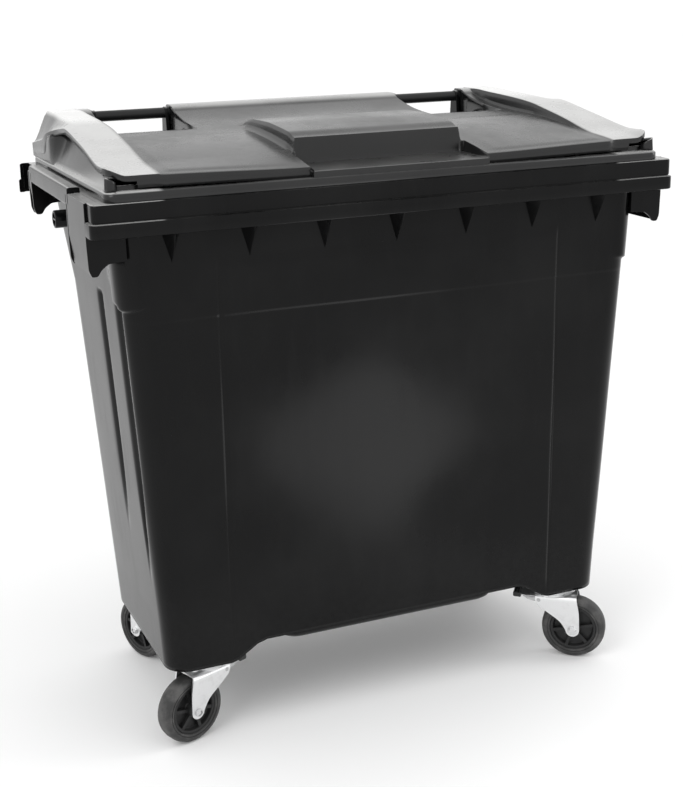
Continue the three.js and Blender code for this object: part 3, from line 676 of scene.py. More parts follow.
# ---------------------------------------------------------------------------------------------- tub
@dataclass
class Tub:
    """The moulded tub: a tapered body with corner columns, panels and flutes, on a floor with a
    sump.
    """

    low: Vector = field(default_factory=lambda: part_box("tub")[0])
    high: Vector = field(default_factory=lambda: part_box("tub")[1])
    wall: float = 6 * MM
    floor: float = 0.228
    panel_half: float = 0.410
    shoulder: float = 1.030
    flutes: tuple = ((-0.262, 0.385),
                     (-0.105, 0.455))  # place along the side, and height of the lower end
    # height, half width, front, back, front corner radius, rear corner radius
    sections: tuple = (
        (0.186, 0.562, -0.315, 0.240, 0.055, 0.125),
        (0.300, 0.568, -0.317, 0.252, 0.055, 0.130),
        (0.500, 0.581, -0.320, 0.270, 0.055, 0.150),
        (1.008, 0.612, -0.328, 0.285, 0.055, 0.150),
        (1.194, 0.621, -0.331, 0.330, 0.055, 0.090),
        (1.263, 0.621, -0.331, 0.331, 0.055, 0.060),
    )

    def section(self, z: Array) -> list[Array]:
        """Half width, front, back and the two corner radii of the body at heights z."""
        table = np.array(self.sections)
        return [np.interp(z, table[:, 0], table[:, i]) for i in range(1, 6)]

    def body(self) -> bpy.types.Object:
        """The body's skin from the skirt to the mouth, walled inwards."""
        z = lines((0.186, 0.30, 12), (0.30, 0.99, 44), (0.99, 1.052, 24), (1.052, 1.10, 5),
                  (1.10, 1.14, 8), (1.14, 1.2625, 8))
        half, front, back, rf, rb = (v[:, None] for v in self.section(z))
        rows = z[:, None]
        x_in = lines((-0.44, -0.42, 3), (-0.42, -0.40, 11), (-0.40, 0.40, 35), (0.40, 0.42, 11),
                     (0.42, 0.44, 3))[None, :]
        share = np.linspace(0, 1, 7)[None, 1:]
        reach = half - rf - 0.44
        x_front = np.concatenate([(-0.44 - reach * share)[:, ::-1], x_in + 0 * rows,
                                  0.44 + reach * share], 1)
        y_front = front + 0 * x_front

        def corner(cx: Array, cy: Array, r: Array, start: float,
                   steps: int) -> tuple[Array, Array, Array, Array]:
            """A corner's columns with their outward normals."""
            a = np.radians(np.linspace(start, start + 90, steps + 1)[1:-1])[None, :]
            return cx + r * np.cos(a), cy + r * np.sin(a), np.cos(a) + 0 * cx, np.sin(a) + 0 * cx

        y_in = lines((-0.2575, -0.22, 16), (-0.22, -0.14, 6), (-0.14, -0.07, 22),
                     (-0.07, 0.10, 12))[None, :]
        y_side = np.concatenate([front + rf + 0 * rows, y_in + 0 * rows,
                                 0.10 + (back - rb - 0.10) * share], 1)
        x_side = half + 0 * y_side
        x_back = (half - rb) * np.linspace(1, -1, 41)[None, :]
        y_back = back + 0 * x_back
        fr = corner(half - rf, front + rf, rf, -90, 10)
        br = corner(half - rb, back - rb, rb, 0, 14)
        bl = corner(-half + rb, back - rb, rb, 90, 14)
        fl = corner(-half + rf, front + rf, rf, 180, 10)
        zero = lambda like: 0 * like
        parts = [
            (x_front, y_front, zero(x_front), zero(x_front) - 1),
            fr,
            (x_side, y_side, zero(x_side) + 1, zero(x_side)),
            br,
            (x_back, y_back, zero(x_back), zero(x_back) + 1),
            bl,
            (-x_side[:, ::-1], y_side[:, ::-1], zero(x_side) - 1, zero(x_side)),
            fl,
        ]
        x, y, nx, ny = (np.concatenate([p[i] for p in parts], 1) for i in range(4))
        out = self.relief(x, y, nx, ny, rows)
        arch = (1 - smooth(np.abs(x), 0.330, 0.420)) * (self.floor - 0.186)
        lift = arch * (1 - smooth(rows, 0.186, 0.30)) * (np.abs(ny) > 0.7)
        grid = np.stack([x + nx * out, y + ny * out, rows + lift], -1)
        return walled(
            Skin().grid(grid, wrap_columns=True).piece("tub_body", closed=False, sharp=50),
            self.wall)

    def relief(self, x: Array, y: Array, nx: Array, ny: Array, z: Array) -> Array:
        """How far the moulded surface stands out from the plain body.

        The front has a middle panel raised 2 mm between grooves, a faint moulding line and a slow
        ripple. The corner columns stand 7 mm prouder above the shoulder, whose lower edge is
        curved. Below it each side has two upright flutes, 9 mm deep, whose lower ends run out to a
        point.

        Args:
            x: Places of the grid's points.
            y: As x.
            nx: Outward normals in plan.
            ny: As nx.
            z: Heights, one to a row.

        Returns:
            Distances along the normals.
        """
        is_front = np.clip(-ny, 0, 1) ** 4
        is_side = np.clip(np.abs(nx), 0, 1)
        tall = smooth(z, 1.128, 1.100) * smooth(z, 0.19, 0.24)
        panel = 0.0022 * smooth(np.abs(x), self.panel_half + 0.003, self.panel_half - 0.003) * tall
        groove = -0.0016 * np.exp(-(((np.abs(x) - self.panel_half) / 0.0035) ** 2)) * tall
        seam = 0.0009 * smooth(z, 1.000, 1.004)
        wave = (
            0.0016 * np.sin(7.3 * x + 3.1 * z + 0.6) * np.sin(4.6 * z + 0.4)
            + 0.0016 * np.sin(13.0 * x - 6.0 * z + 1.9) * np.sin(9.0 * z + 4.0 * x)
            + 0.0030 * np.exp(-(((x - 0.06) / 0.24) ** 2) - ((z - 0.66) / 0.22) ** 2)
            - 0.0022 * np.exp(-(((x + 0.05) / 0.30) ** 2) - ((z - 0.50) / 0.10) ** 2)
        )
        calm = smooth(z, 0.19, 0.30) * smooth(z, 1.18, 1.08)
        front = is_front * (panel + groove + seam + wave * calm)
        edge = self.shoulder + 0.010 * (is_front - 0.4) + 0.06 * smooth(y, -0.262, -0.215)
        cap = smooth(z, edge - 0.004, edge + 0.004)
        column = (smooth(y, -0.205, -0.262) * smooth(np.abs(x), 0.565, 0.583)
                  * smooth(z, 1.262, 1.20))
        columns = 0.0075 * cap * column
        head = smooth(z, self.shoulder + 0.012, self.shoulder - 0.004)
        width = 0.006 + 0.011 * smooth(z, 0.36, 0.72)
        flutes = sum(
            0.010 * smooth(z, end, end + 0.20)
            * np.exp(-np.abs((y - at + 0.03 * (z - 1.0)) / width) ** 2.4)
            for at, end in self.flutes
        )
        return front + columns - flutes * head * is_side**2

    def base(self) -> bpy.types.Object:
        """The floor plate with its sump: a shallow tray that hangs under it, and the
        castors' pads.
        """
        half, front, back, rf, rb = (float(v) for v in self.section(np.array(self.floor)))
        ring = lambda grow, z: self.rounded_plan(half - grow, front + grow, back - grow, rf, rb, z)
        skins = []
        top, bottom = (ring(self.wall * 0.5, self.floor + self.wall),
                       ring(self.wall * 0.5, self.floor))
        skins.append(Skin().grid(np.stack([bottom, top]), wrap_columns=True).fan(bottom).fan(top))
        tray = [
            self.rounded_plan(0.285 - g, -0.292 + g, 0.130 - g, 0.04, 0.04, z)
            for g, z in ((0, 0.230), (0.002, 0.214), (0.006, 0.205), (0.013, 0.199),
                         (0.022, 0.1955), (0.034, 0.195))
        ]
        skins.append(Skin().grid(np.stack(tray), wrap_columns=True).fan(tray[0]).fan(tray[-1]))
        for name in CASTOR_NAMES:
            low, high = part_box(f"mount_plate_{name}")
            x, y = (low.x + high.x) / 2, (low.y + high.y) / 2
            skins.append(block(x - 0.054, x + 0.054, max(y - 0.046, -0.309), y + 0.046, 0.1865,
                               self.floor + 0.001))
        return bevelled(merged(skins).piece("tub_base"), 1.5 * MM)

    @staticmethod
    def rounded_plan(half: float, front: float, back: float, rf: float, rb: float,
                     z: float) -> Array:
        """A level ring (n, 3): a rectangle with round corners, of radius rf in front and rb
        behind.
        """
        ring = np.vstack([
            arc(half - rf, front + rf, rf, -90, 0, 8),
            arc(half - rb, back - rb, rb, 0, 90, 8),
            arc(-half + rb, back - rb, rb, 90, 180, 8),
            arc(-half + rf, front + rf, rf, 180, 270, 8),
        ])
        return np.column_stack([ring, np.full(len(ring), z)])


CASTOR_NAMES = ("front_left", "front_right", "rear_left", "rear_right")


@dataclass
class Rim:
    """The comb rim: a top plate round the mouth, a stepped band in front and behind, and the
    wedges under it.
    """

    half: float = 0.685
    depth: float = 0.385
    top: float = 1.263
    groove: float = 1.225
    bottom: float = 1.194
    step: float = 5 * MM
    wall: float = 6 * MM
    side_start: float = -0.335  # where the side guards take over
    pitch: float = 0.170
    tip: float = 1.125

    def band_profile(self) -> Array:
        """The band's section: a lower band, a groove and an upper band that sits back, with
        soft edges.
        """
        inner, back = -self.step - self.wall, -self.step
        return np.array([
            (inner, self.bottom), (-2.5 * MM, self.bottom), (-0.8 * MM, self.bottom + 0.8 * MM),
            (0, self.bottom + 3 * MM),
            (0, self.groove - 4 * MM), (-0.8 * MM, self.groove - 1.6 * MM),
            (-2.4 * MM, self.groove - 0.8 * MM),
            (back - 1.5 * MM, self.groove), (back - 1.8 * MM, self.groove + 1.8 * MM),
            (back, self.groove + 2.6 * MM),
            (back, self.top - 3.5 * MM), (back - 1.2 * MM, self.top - 1.2 * MM),
            (back - 3.5 * MM, self.top), (inner, self.top),
        ])

    def bands(self) -> bpy.types.Object:
        """The front and rear bands, whose ends turn back round the corners."""
        r = 18 * MM
        corner_left = arc(-self.half + r, -self.depth + r, r, 180, 270, 8)
        corner_right = arc(self.half - r, -self.depth + r, r, -90, 0, 8)
        front = np.vstack([[(-self.half, self.side_start)], corner_left, corner_right,
                           [(self.half, self.side_start)]])
        rear_low = np.vstack([[(-self.half, -0.366)], front[1:-1], [(self.half, -0.366)]])
        rear = -rear_low
        return merged([swept(front, self.band_profile()),
                       swept(rear, self.band_profile())]).piece("rim_bands")

    def plate(self) -> bpy.types.Object:
        """The top plate from the mouth to the bands."""
        ring = lambda half, front, back, rf, rb, z: Tub.rounded_plan(half, front, back, rf, rb, z)
        mouth = dict(half=0.6155, front=-0.3255, back=0.3255, rf=0.05, rb=0.055)
        edge = dict(half=0.659, front=-0.3755, back=0.3755, rf=0.012, rb=0.012)
        rows = [ring(**mouth, z=1.2635 - 8 * MM), ring(**mouth, z=self.top - MM),
                ring(**{**mouth, "half": 0.617}, z=self.top),
                ring(**edge, z=self.top), ring(**edge, z=self.top - 8 * MM)]
        skin = Skin().grid(np.stack(rows), wrap_rows=True, wrap_columns=True)
        corners = [block(s * 0.674 if s < 0 else 0.655, -0.655 if s < 0 else 0.674, -0.3752, -0.334,
                         1.2553, 1.2628) for s in (-1, 1)]
        return merged([skin, *corners]).piece("rim_plate")

    def wedges(self) -> bpy.types.Object:
        """Seven hollow-looking wedges that brace the band, each running down the wall to a
        point.
        """
        made = []
        for i in range(-3, 4):
            x, wall = i * self.pitch, -0.327
            rows = []
            for z, half, nose in ((self.tip, 0.0006, -0.332), (self.tip + 0.02, 0.0075, -0.345),
                                  (self.bottom, 0.023, -0.3745), (1.256, 0.023, -0.3745)):
                outline = rounded([(x - half, wall), (x, nose), (x + half, wall)], 1.5 * MM, 3)
                rows.append(np.column_stack([outline, np.full(len(outline), z)]))
            made.append(Skin().grid(np.stack(rows), wrap_columns=True).fan(rows[0]).fan(rows[-1]))
        return merged(made).piece("rim_wedges")

    def build(self) -> None:
        """Makes the rim's pieces."""
        for piece in (self.bands(), self.plate(), self.wedges()):
            dress(piece, Slot.TUB, "chassis")


@dataclass
class SideGuard:
    """One side's lift guard: a bar over the trunnion bay, a block at each end of it, and the
    rear rod lugs.
    """

    side: int
    half: float = 0.685
    bar_inner: float = 0.657
    bar_top: float = 1.275
    bar_bottom: float = 1.235
    blocks: tuple = ((-0.335, -0.165), (0.205, 0.240))
    rear_raise: float = 0.050  # how much higher the rear block's leg ends
    leg_inner: float = 0.664
    leg_bottom: float = 1.112
    block_bottom: float = 1.137
    rim_top: float = 1.263

    def mirrored(self, skin: Skin) -> Skin:
        """A skin of the right side, moved to this guard's side."""
        return moved(skin, lambda v: v * (self.side, 1, 1))

    def bar(self) -> bpy.types.Object:
        """The bar, round-edged, over the trunnion."""
        outline = rounded([(self.bar_inner, self.bar_bottom), (self.half, self.bar_bottom),
                           (self.half, self.bar_top),
                           (self.bar_inner, self.bar_top)], 7 * MM, 5)
        skin = prism(outline, self.blocks[0][1] - 0.020, self.blocks[1][0] + 0.020, "y")
        return bevelled(self.mirrored(skin).piece(f"guard_bar_{self.tag}"), 2 * MM)

    def plate_outline(self, lift: float) -> Array:
        """The end plates' outline, its foot lifted by a given height: a ledge that slants
        down to the leg.
        """
        low, ledge = self.leg_bottom + lift, self.block_bottom + lift
        foot = [(0.604, ledge + 2 * MM), (0.642, ledge - MM), (0.657, ledge - 12 * MM),
                (0.6655, low), (self.half - 7 * MM, low),
                (self.half - 1.5 * MM, low + 14 * MM), (self.half, ledge + 0.040),
                (self.half, self.rim_top - 0.2 * MM), (0.604, self.rim_top - 0.2 * MM)]
        return rounded(foot, 4 * MM, 3)

    def end_blocks(self) -> bpy.types.Object:
        """The two blocks: end plates with an outer wall and a top between them."""
        made = []
        for (y0, y1), lift in zip(self.blocks, (0.0, self.rear_raise)):
            outline = self.plate_outline(lift)
            foot = self.leg_bottom + lift + 4 * MM
            wall = np.array([(self.leg_inner + MM, foot), (self.half - 6.5 * MM, foot),
                             (self.half - 0.6 * MM, self.block_bottom + lift + 0.040),
                             (self.half - 0.6 * MM, self.rim_top - MM),
                             (self.leg_inner + MM, self.rim_top - MM)])
            made += [prism(outline, y0, y0 + 6 * MM, "y"), prism(outline, y1 - 6 * MM, y1, "y"),
                     prism(wall, y0 + 3 * MM, y1 - 3 * MM, "y"),
                     block(0.606, 0.672, y0 + 3 * MM, y1 - 3 * MM, 1.2556, 1.2625)]
        return bevelled(self.mirrored(merged(made)).piece(f"guard_blocks_{self.tag}"), 1.6 * MM)

    def lugs(self) -> bpy.types.Object:
        """The two lugs on the rear rim that hold a handle rod."""
        y, z, r = 0.350, 1.366, 0.015
        outline = np.vstack([[(y - 0.026, 1.261), (y + 0.026, 1.261)], arc(y, z, r, 0, 180, 14)])
        made = [prism(outline, x, x + 0.009, "x") for x in (0.309, 0.491)]
        return bevelled(self.mirrored(merged(made)).piece(f"rod_lugs_{self.tag}"), 1.5 * MM)

    @property
    def tag(self) -> str:
        """left or right."""
        return "left" if self.side < 0 else "right"

    def trunnion(self) -> bpy.types.Object:
        """The lift peg: a flange on the wall, a fillet, a round neck and a dished end with
        a web across it.
        """
        low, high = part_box(f"trunnion_{self.tag}")
        length, r = high.x - low.x, 0.020
        profile = np.array([(0, 0), (0.034, 0), (0.036, 0.002), (0.036, 0.0045), (0.0345, 0.006),
                            (0.027, 0.0075), (0.0225, 0.010),
                            (0.0205, 0.014), (r, 0.018), (r, length - 0.003),
                            (r - 0.0008, length - 0.001), (r - 0.0025, length),
                            (r - 0.005, length), (r - 0.0062, length - 0.001),
                            (r - 0.0068, length - 0.008), (0, length - 0.009)])
        web = block(-0.0145, 0.0145, -0.0018, 0.0018, length - 0.011, length - 0.0008)
        start = low.x if self.side > 0 else high.x
        y, z = (low.y + high.y) / 2, (low.z + high.z) / 2
        turn = lambda v: np.column_stack([start + self.side * v[:, 2], y + v[:, 0], z + v[:, 1]])
        return moved(merged([turned(profile, 40), web]), turn).piece(f"trunnion_peg_{self.tag}")

    def rod(self) -> bpy.types.Object:
        """The handle rod, with chamfered ends."""
        low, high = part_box(f"handle_rod_{self.tag}")
        length, r = high.x - low.x, (high.z - low.z) / 2
        profile = np.array([(0, 0), (r - 2 * MM, 0), (r, 2 * MM), (r, length - 2 * MM),
                            (r - 2 * MM, length), (0, length)])
        place = lambda v: np.column_stack([low.x + v[:, 2], (low.y + high.y) / 2 + v[:, 0],
                                           (low.z + high.z) / 2 + v[:, 1]])
        return moved(turned(profile, 32), place).piece(f"rod_{self.tag}")

    def build(self) -> None:
        """Makes the side's pieces."""
        for piece in (self.bar(), self.end_blocks(), self.lugs()):
            dress(piece, Slot.TUB, "chassis")
        dress(self.trunnion(), Slot.TUB, "chassis", [f"trunnion_{self.tag}"])
        dress(self.rod(), Slot.ROD, "chassis", [f"handle_rod_{self.tag}"])


@dataclass
class Lid:
    """The lid: two wings, a shelf and hump between them, a raised strip at each end, and a ramp
    with two windows.
    """

    half: float = 0.645
    front: float = -0.372
    lip: float = -0.360
    back: float = 0.370
    seat: float = 1.264
    seat_top: float = 1.279
    seat_back: float = 0.345
    centre: float = 0.205
    hump: float = 0.200
    strip: float = 0.530
    shelf: float = 1.296
    window: tuple[float, float] = (0.306, 0.503)
    window_front: float = 0.296
    skin: float = 5 * MM
    panel_points: tuple = ((-0.360, 1.304), (-0.246, 1.322), (-0.100, 1.338), (0, 1.344),
                           (0.100, 1.347), (0.200, 1.354),
                           (0.300, 1.372), (0.338, 1.3848), (0.370, 1.3848))
    window_points: tuple = ((0.100, 1.347), (0.200, 1.338), (0.296, 1.324))
    strip_points: tuple = ((-0.360, 1.306), (-0.346, 1.308), (-0.244, 1.3235), (-0.142, 1.344),
                           (-0.060, 1.358), (0.020, 1.370),
                           (0.120, 1.377), (0.240, 1.382), (0.300, 1.3848), (0.370, 1.3848))
    hump_points: tuple = ((-0.240, 1.352), (-0.153, 1.360), (-0.066, 1.365), (0.018, 1.364),
                          (0.092, 1.354), (0.150, 1.346))

    def end_drop(self, ax: Array, y: Array) -> Array:
        """How far the outer edge of an end strip lies below its inner part: above it in
        front, sloping off behind.
        """
        drop = curve_through(((-0.36, -0.013), (-0.25, -0.004), (-0.10, 0.0), (0.03, 0.0005),
                              (0.09, 0.009), (0.19, 0.031),
                              (0.25, 0.055), (0.37, 0.075)))
        return smooth(ax, 0.598, self.half) * drop(y)

    def height(self, x: Array, y: Array) -> Array:
        """Height of the lid's upper surface.

        Each region has its own side-view curve; smoothsteps 3 to 6 mm wide join them, so their
        edges are round.

        Args:
            x: Places across, any shape.
            y: Places along, the same shape.

        Returns:
            Heights above the ground.
        """
        ax = np.abs(x)
        panel = curve_through(self.panel_points)(y)
        panel = panel + 0.007 * smooth(ax, 0.20, 0.56) * smooth(y, -0.24, -0.36)
        field_edge = smooth(ax, 0.522, 0.500) * smooth(ax, 0.222, 0.245)
        panel = panel + 0.0016 * field_edge * smooth(y, -0.345, -0.325) * smooth(y, 0.02, -0.02)
        fall = curve_through(self.window_points)(y)
        strip = curve_through(self.strip_points)(y)
        bay = (smooth(ax, self.window[0] - 0.0015, self.window[0] + 0.0025)
               * smooth(ax, self.window[1] + 0.0015, self.window[1] - 0.0025))
        z = panel + bay * (fall - panel) * (y > self.window_points[0][0])
        z = z + (smooth(ax, self.strip - 0.0015, self.strip + 0.003)
                 * np.maximum(strip + 0.0012 - panel, 0.0012))
        rise = smooth(y, -0.2475, -0.2395)
        hump = curve_through(self.hump_points)(y)
        middle = self.shelf + 0.002 * smooth(y, self.front, -0.26)
        side = smooth(ax, self.hump + 0.0035, self.hump - 0.003)
        fillet = (0.006 * smooth(ax, self.hump + 0.012, self.hump)
                  * smooth(y, -0.235, -0.2) * smooth(y, 0.10, 0.06))
        over = np.maximum(hump - panel, 0) * side + fillet
        plain = np.where(y > -0.2475, 0, smooth(ax, self.centre + 0.005, self.centre - 0.001))
        low = middle + (panel - middle) * (1 - plain)
        return np.where(y < -0.2475, np.where(ax < 0.3, low, z),
                        np.where(ax < self.hump + 0.02, 0, z)
                        + np.where(ax < self.hump + 0.02, (1 - side * (1 - rise)) * (panel + over)
                                   + side * (1 - rise) * middle, 0))

    def top(self) -> bpy.types.Object:
        """The upper skin over the whole lid, its lips turned down, with the two windows
        left out.
        """
        half_lines = lines((0, 0.194, 18), (0.194, 0.214, 15), (0.214, 0.301, 8), (0.302, 0.310, 9),
                           (0.310, 0.498, 14), (0.499, 0.507, 9),
                           (0.507, 0.526, 4), (0.527, 0.535, 9), (0.535, 0.577, 5),
                           (0.579, 0.635, 8), (0.635, 0.645, 5))
        x = np.concatenate([-half_lines[:0:-1], half_lines])
        y = lines((-0.369, -0.345, 8), (-0.345, -0.25, 14), (-0.2485, -0.2385, 11),
                  (-0.238, 0.09, 42), (0.09, 0.294, 26), (0.296, 0.334, 8),
                  (0.334, 0.342, 5), (0.342, 0.3675, 4))
        ax = np.abs(x)
        outer = np.clip((ax - (self.half - 0.040)) / 0.040, 0, 1)
        edge = (np.where(ax < self.centre + 0.002, self.front, self.lip)
                + 0.006 * smooth(ax, 0.52, 0.54))
        edge = edge + 0.038 * (1 - np.sqrt(np.clip(1 - outer**2, 0, 1)))
        xx, yy = np.meshgrid(x, y)
        yy = yy + (edge + 0.003 - y[0])[None, :] * (1 - smooth(yy, y[0], -0.262))
        zz = self.height(xx, yy) - self.end_drop(np.abs(xx), yy)
        draw_in = curve_through(((-0.36, 0.005), (-0.25, 0.009), (-0.10, 0.013), (0.10, 0.012),
                                 (0.22, 0.0), (0.37, 0.0)))
        xx = xx - np.sign(xx) * draw_in(yy) * smooth(np.abs(xx), 0.590, self.half)
        first = zz[:1]
        lip_low = 1.282 + 0.005 * smooth(ax, 0.20, 0.56)
        drop = np.where(ax < self.centre + 0.002, self.seat,
                        np.where(ax < 0.578, lip_low, first[0] - 0.013))[None, :]
        ex, ey = xx[:1], edge[None, :]
        front = [(ex, ey + 0.001, drop), (ex, ey, drop + 0.0015), (ex, ey, first - 0.003),
                 (ex, ey + 0.0009, first - 0.0009)]
        last = zz[-1:]
        back = [(ex, 0 * ey + self.back, last - 0.002), (ex, 0 * ey + self.back, last - 0.026),
                (ex, 0 * ey + 0.347, last - 0.038),
                (ex, 0 * ey + self.seat_back, 0 * last + self.seat + 0.002)]

        def rows_of(turned_down: list) -> list[Array]:
            """Rows of points from each row's x, y and z."""
            return [np.stack([np.broadcast_to(v, (1, len(x))) for v in row], -1)
                    for row in turned_down]

        grid = np.concatenate([*rows_of(front), np.stack([xx, yy, zz], -1), *rows_of(back)])
        n = len(front)
        sides = []
        for column, sign in ((0, -1), (-1, 1)):
            strip = grid[:, column].copy()
            fall = np.array([0.0035, 0.0130])[:, None] * np.ones(len(strip))
            inward = np.array([0.0, 0.0006])
            made = []
            post = smooth(strip[:, 1], 0.17, 0.23)
            for k in range(2):
                one = strip.copy()
                to_seat = (one[:, 2] - 1.281) * (0.3, 1.0)[k]
                fallen = one[:, 2] - fall[k] * (1 - post) - np.maximum(to_seat, 0) * post
                one[:, 2] = np.maximum(fallen, self.seat + 0.001)
                one[:n, 2] = strip[:n, 2]
                one[:, 0] -= sign * inward[k]
                made.append(one)
            sides.append(np.stack(made, 1))
        grid = np.concatenate([sides[0][:, ::-1], grid, sides[1]], 1)
        middle = (grid[:-1, :-1] + grid[1:, :-1] + grid[:-1, 1:] + grid[1:, 1:]) / 4
        reach = np.abs(middle[..., 0])
        inside = ((reach > self.window[0]) & (reach < self.window[1])
                  & (middle[..., 1] > self.window_front - 0.001))
        return walled(Skin().grid(grid, keep=~inside).piece("lid_top", closed=False, sharp=40),
                      self.skin)

    def frame(self) -> bpy.types.Object:
        """The seat on the rim, and the collar over it that scoops in under the strips for
        the hands.
        """
        r = 0.020
        ring = np.vstack([
            arc(self.half - r, self.front + r, r, -90, 0, 6),
            np.column_stack([np.full(48, self.half),
                             np.linspace(self.front + r, self.seat_back - r, 50)[1:-1]]),
            arc(self.half - r, self.seat_back - r, r, 0, 90, 6),
            arc(-self.half + r, self.seat_back - r, r, 90, 180, 6),
            np.column_stack([np.full(48, -self.half),
                             np.linspace(self.seat_back - r, self.front + r, 50)[1:-1]]),
            arc(-self.half + r, self.front + r, r, 180, 270, 6),
        ])
        step = np.roll(ring, -1, 0) - np.roll(ring, 1, 0)
        step /= np.linalg.norm(step, axis=1)[:, None]
        inward = np.column_stack([-step[:, 1], step[:, 0]])
        side = np.abs(inward[:, 0]) ** 2
        y = ring[:, 1]
        roof = curve_through(self.strip_points)(y) - 0.0085
        closed = smooth(y, 0.115, 0.165) + smooth(y, -0.320, -0.352)
        rows = [(0.012 + 0 * y, self.seat + 0 * y), (0.001 + 0 * y, self.seat + 0 * y),
                (0 * y, self.seat + 0.001 + 0 * y),
                (0 * y, self.seat_top - 0.002 + 0 * y), (0.0018 + 0 * y, self.seat_top + 0 * y)]
        front_rows = [(0.030, 1.2795), (0.0335, 1.2805), (0.0345, 1.284), (0.035, 1.287),
                      (0.0352, 1.289), (0.0354, 1.291), (0.0356, 1.293)]
        for i, (d, h) in enumerate(front_rows):
            t = i / (len(front_rows) - 1)
            scoop = 0.004 + 0.044 * t**0.85
            wall = 0.0035 + 0.002 * t
            open_side = np.clip(1 - closed, 0, 1)
            d_side = scoop * open_side + wall * (1 - open_side)
            h_side = (self.seat_top + 0.0004
                      + (roof - self.end_drop(self.half - d_side, y) - self.seat_top) * t)
            rows.append((d + side * (d_side - d), h + side * (h_side - h)))
        grid = np.stack([np.column_stack([ring + inward * d[:, None], h]) for d, h in rows])
        return walled(
            Skin().grid(grid, wrap_columns=True).piece("lid_frame", closed=False, sharp=50),
            4 * MM, 1.0)

    def cheeks(self) -> bpy.types.Object:
        """The windows' walls: a cheek each side with a hole for the rod, and the low wall
        and ledge in front.
        """
        y, z, r = 0.350, 1.366, 0.0140
        a = np.radians(np.arange(3.75, 363.75, 7.5))
        ray = np.column_stack([np.cos(a), np.sin(a)])
        low, high = np.array([0.326, 1.3405]), np.array([0.3695, 1.3840])
        with np.errstate(divide="ignore"):
            reach = np.min(np.where(ray > 0, (high - (y, z)) / ray, (low - (y, z)) / ray), axis=1)
        outer, inner = (y, z) + ray * reach[:, None], (y, z) + ray * r
        made = []
        for side in (-1, 1):
            for x0, x1 in ((self.window[0] - 0.006, self.window[0]),
                           (self.window[1], self.window[1] + 0.006)):
                rows = [np.column_stack([np.full(len(a), side * x), p]) for x,
                        p in ((x0, outer), (x1, outer), (x1, inner), (x0, inner))]
                made.append(Skin().grid(np.stack(rows), wrap_rows=True, wrap_columns=True))
                lo, hi = sorted((side * x0, side * x1))
                made.append(block(lo, hi, 0.290, 0.3445, 1.265, 1.3405))
                made.append(prism(np.array([(0.290, 1.3400), (0.3262, 1.3400), (0.3262, 1.379),
                                            (0.290, 1.3675)]), lo, hi, "x"))
            lo, hi = sorted((side * (self.window[0] - 0.003), side * (self.window[1] + 0.003)))
            made.append(block(lo, hi, 0.290, 0.2955, 1.265, 1.3165))
            made.append(block(lo, hi, 0.290, 0.315, 1.2645, 1.272))
        return bevelled(merged(made).piece("lid_window_walls"), 0.8 * MM)

    def build(self) -> None:
        """Makes the lid's pieces."""
        dress(self.top(), Slot.LID, "lid", ["lid"])
        dress(self.frame(), Slot.LID, "lid")
        dress(self.cheeks(), Slot.LID, "lid")


@dataclass
class DrainPlug:
    """The sump's screw plug: a flange with finger ribs round a grip bar."""

    def build(self) -> None:
        """Makes the plug."""
        low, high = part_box("drain_plug")
        x, y, bottom = (low.x + high.x) / 2, (low.y + high.y) / 2, low.z
        r = (high.x - low.x) / 2
        profile = np.array([(0, 0.006), (0.014, 0.006), (0.017, 0.0068), (r - 0.004, 0.0085),
                            (r - 0.001, 0.0095), (r, 0.0115),
                            (r, 0.0128), (r - 0.001, 0.0136), (0.026, 0.0136), (0.025, 0.0245),
                            (0.0235, high.z - low.z), (0, high.z - low.z)])
        grip = prism(rounded([(-0.022, -0.0038), (0.022, -0.0038), (0.022, 0.0038),
                              (-0.022, 0.0038)], 0.0035), 0.0, 0.009, "z")
        skin = moved(merged([turned(profile, 48), grip]), lambda v: v + (x, y, bottom))
        dress(skin.piece("plug"), Slot.TUB, "drain_plug", ["drain_plug"])


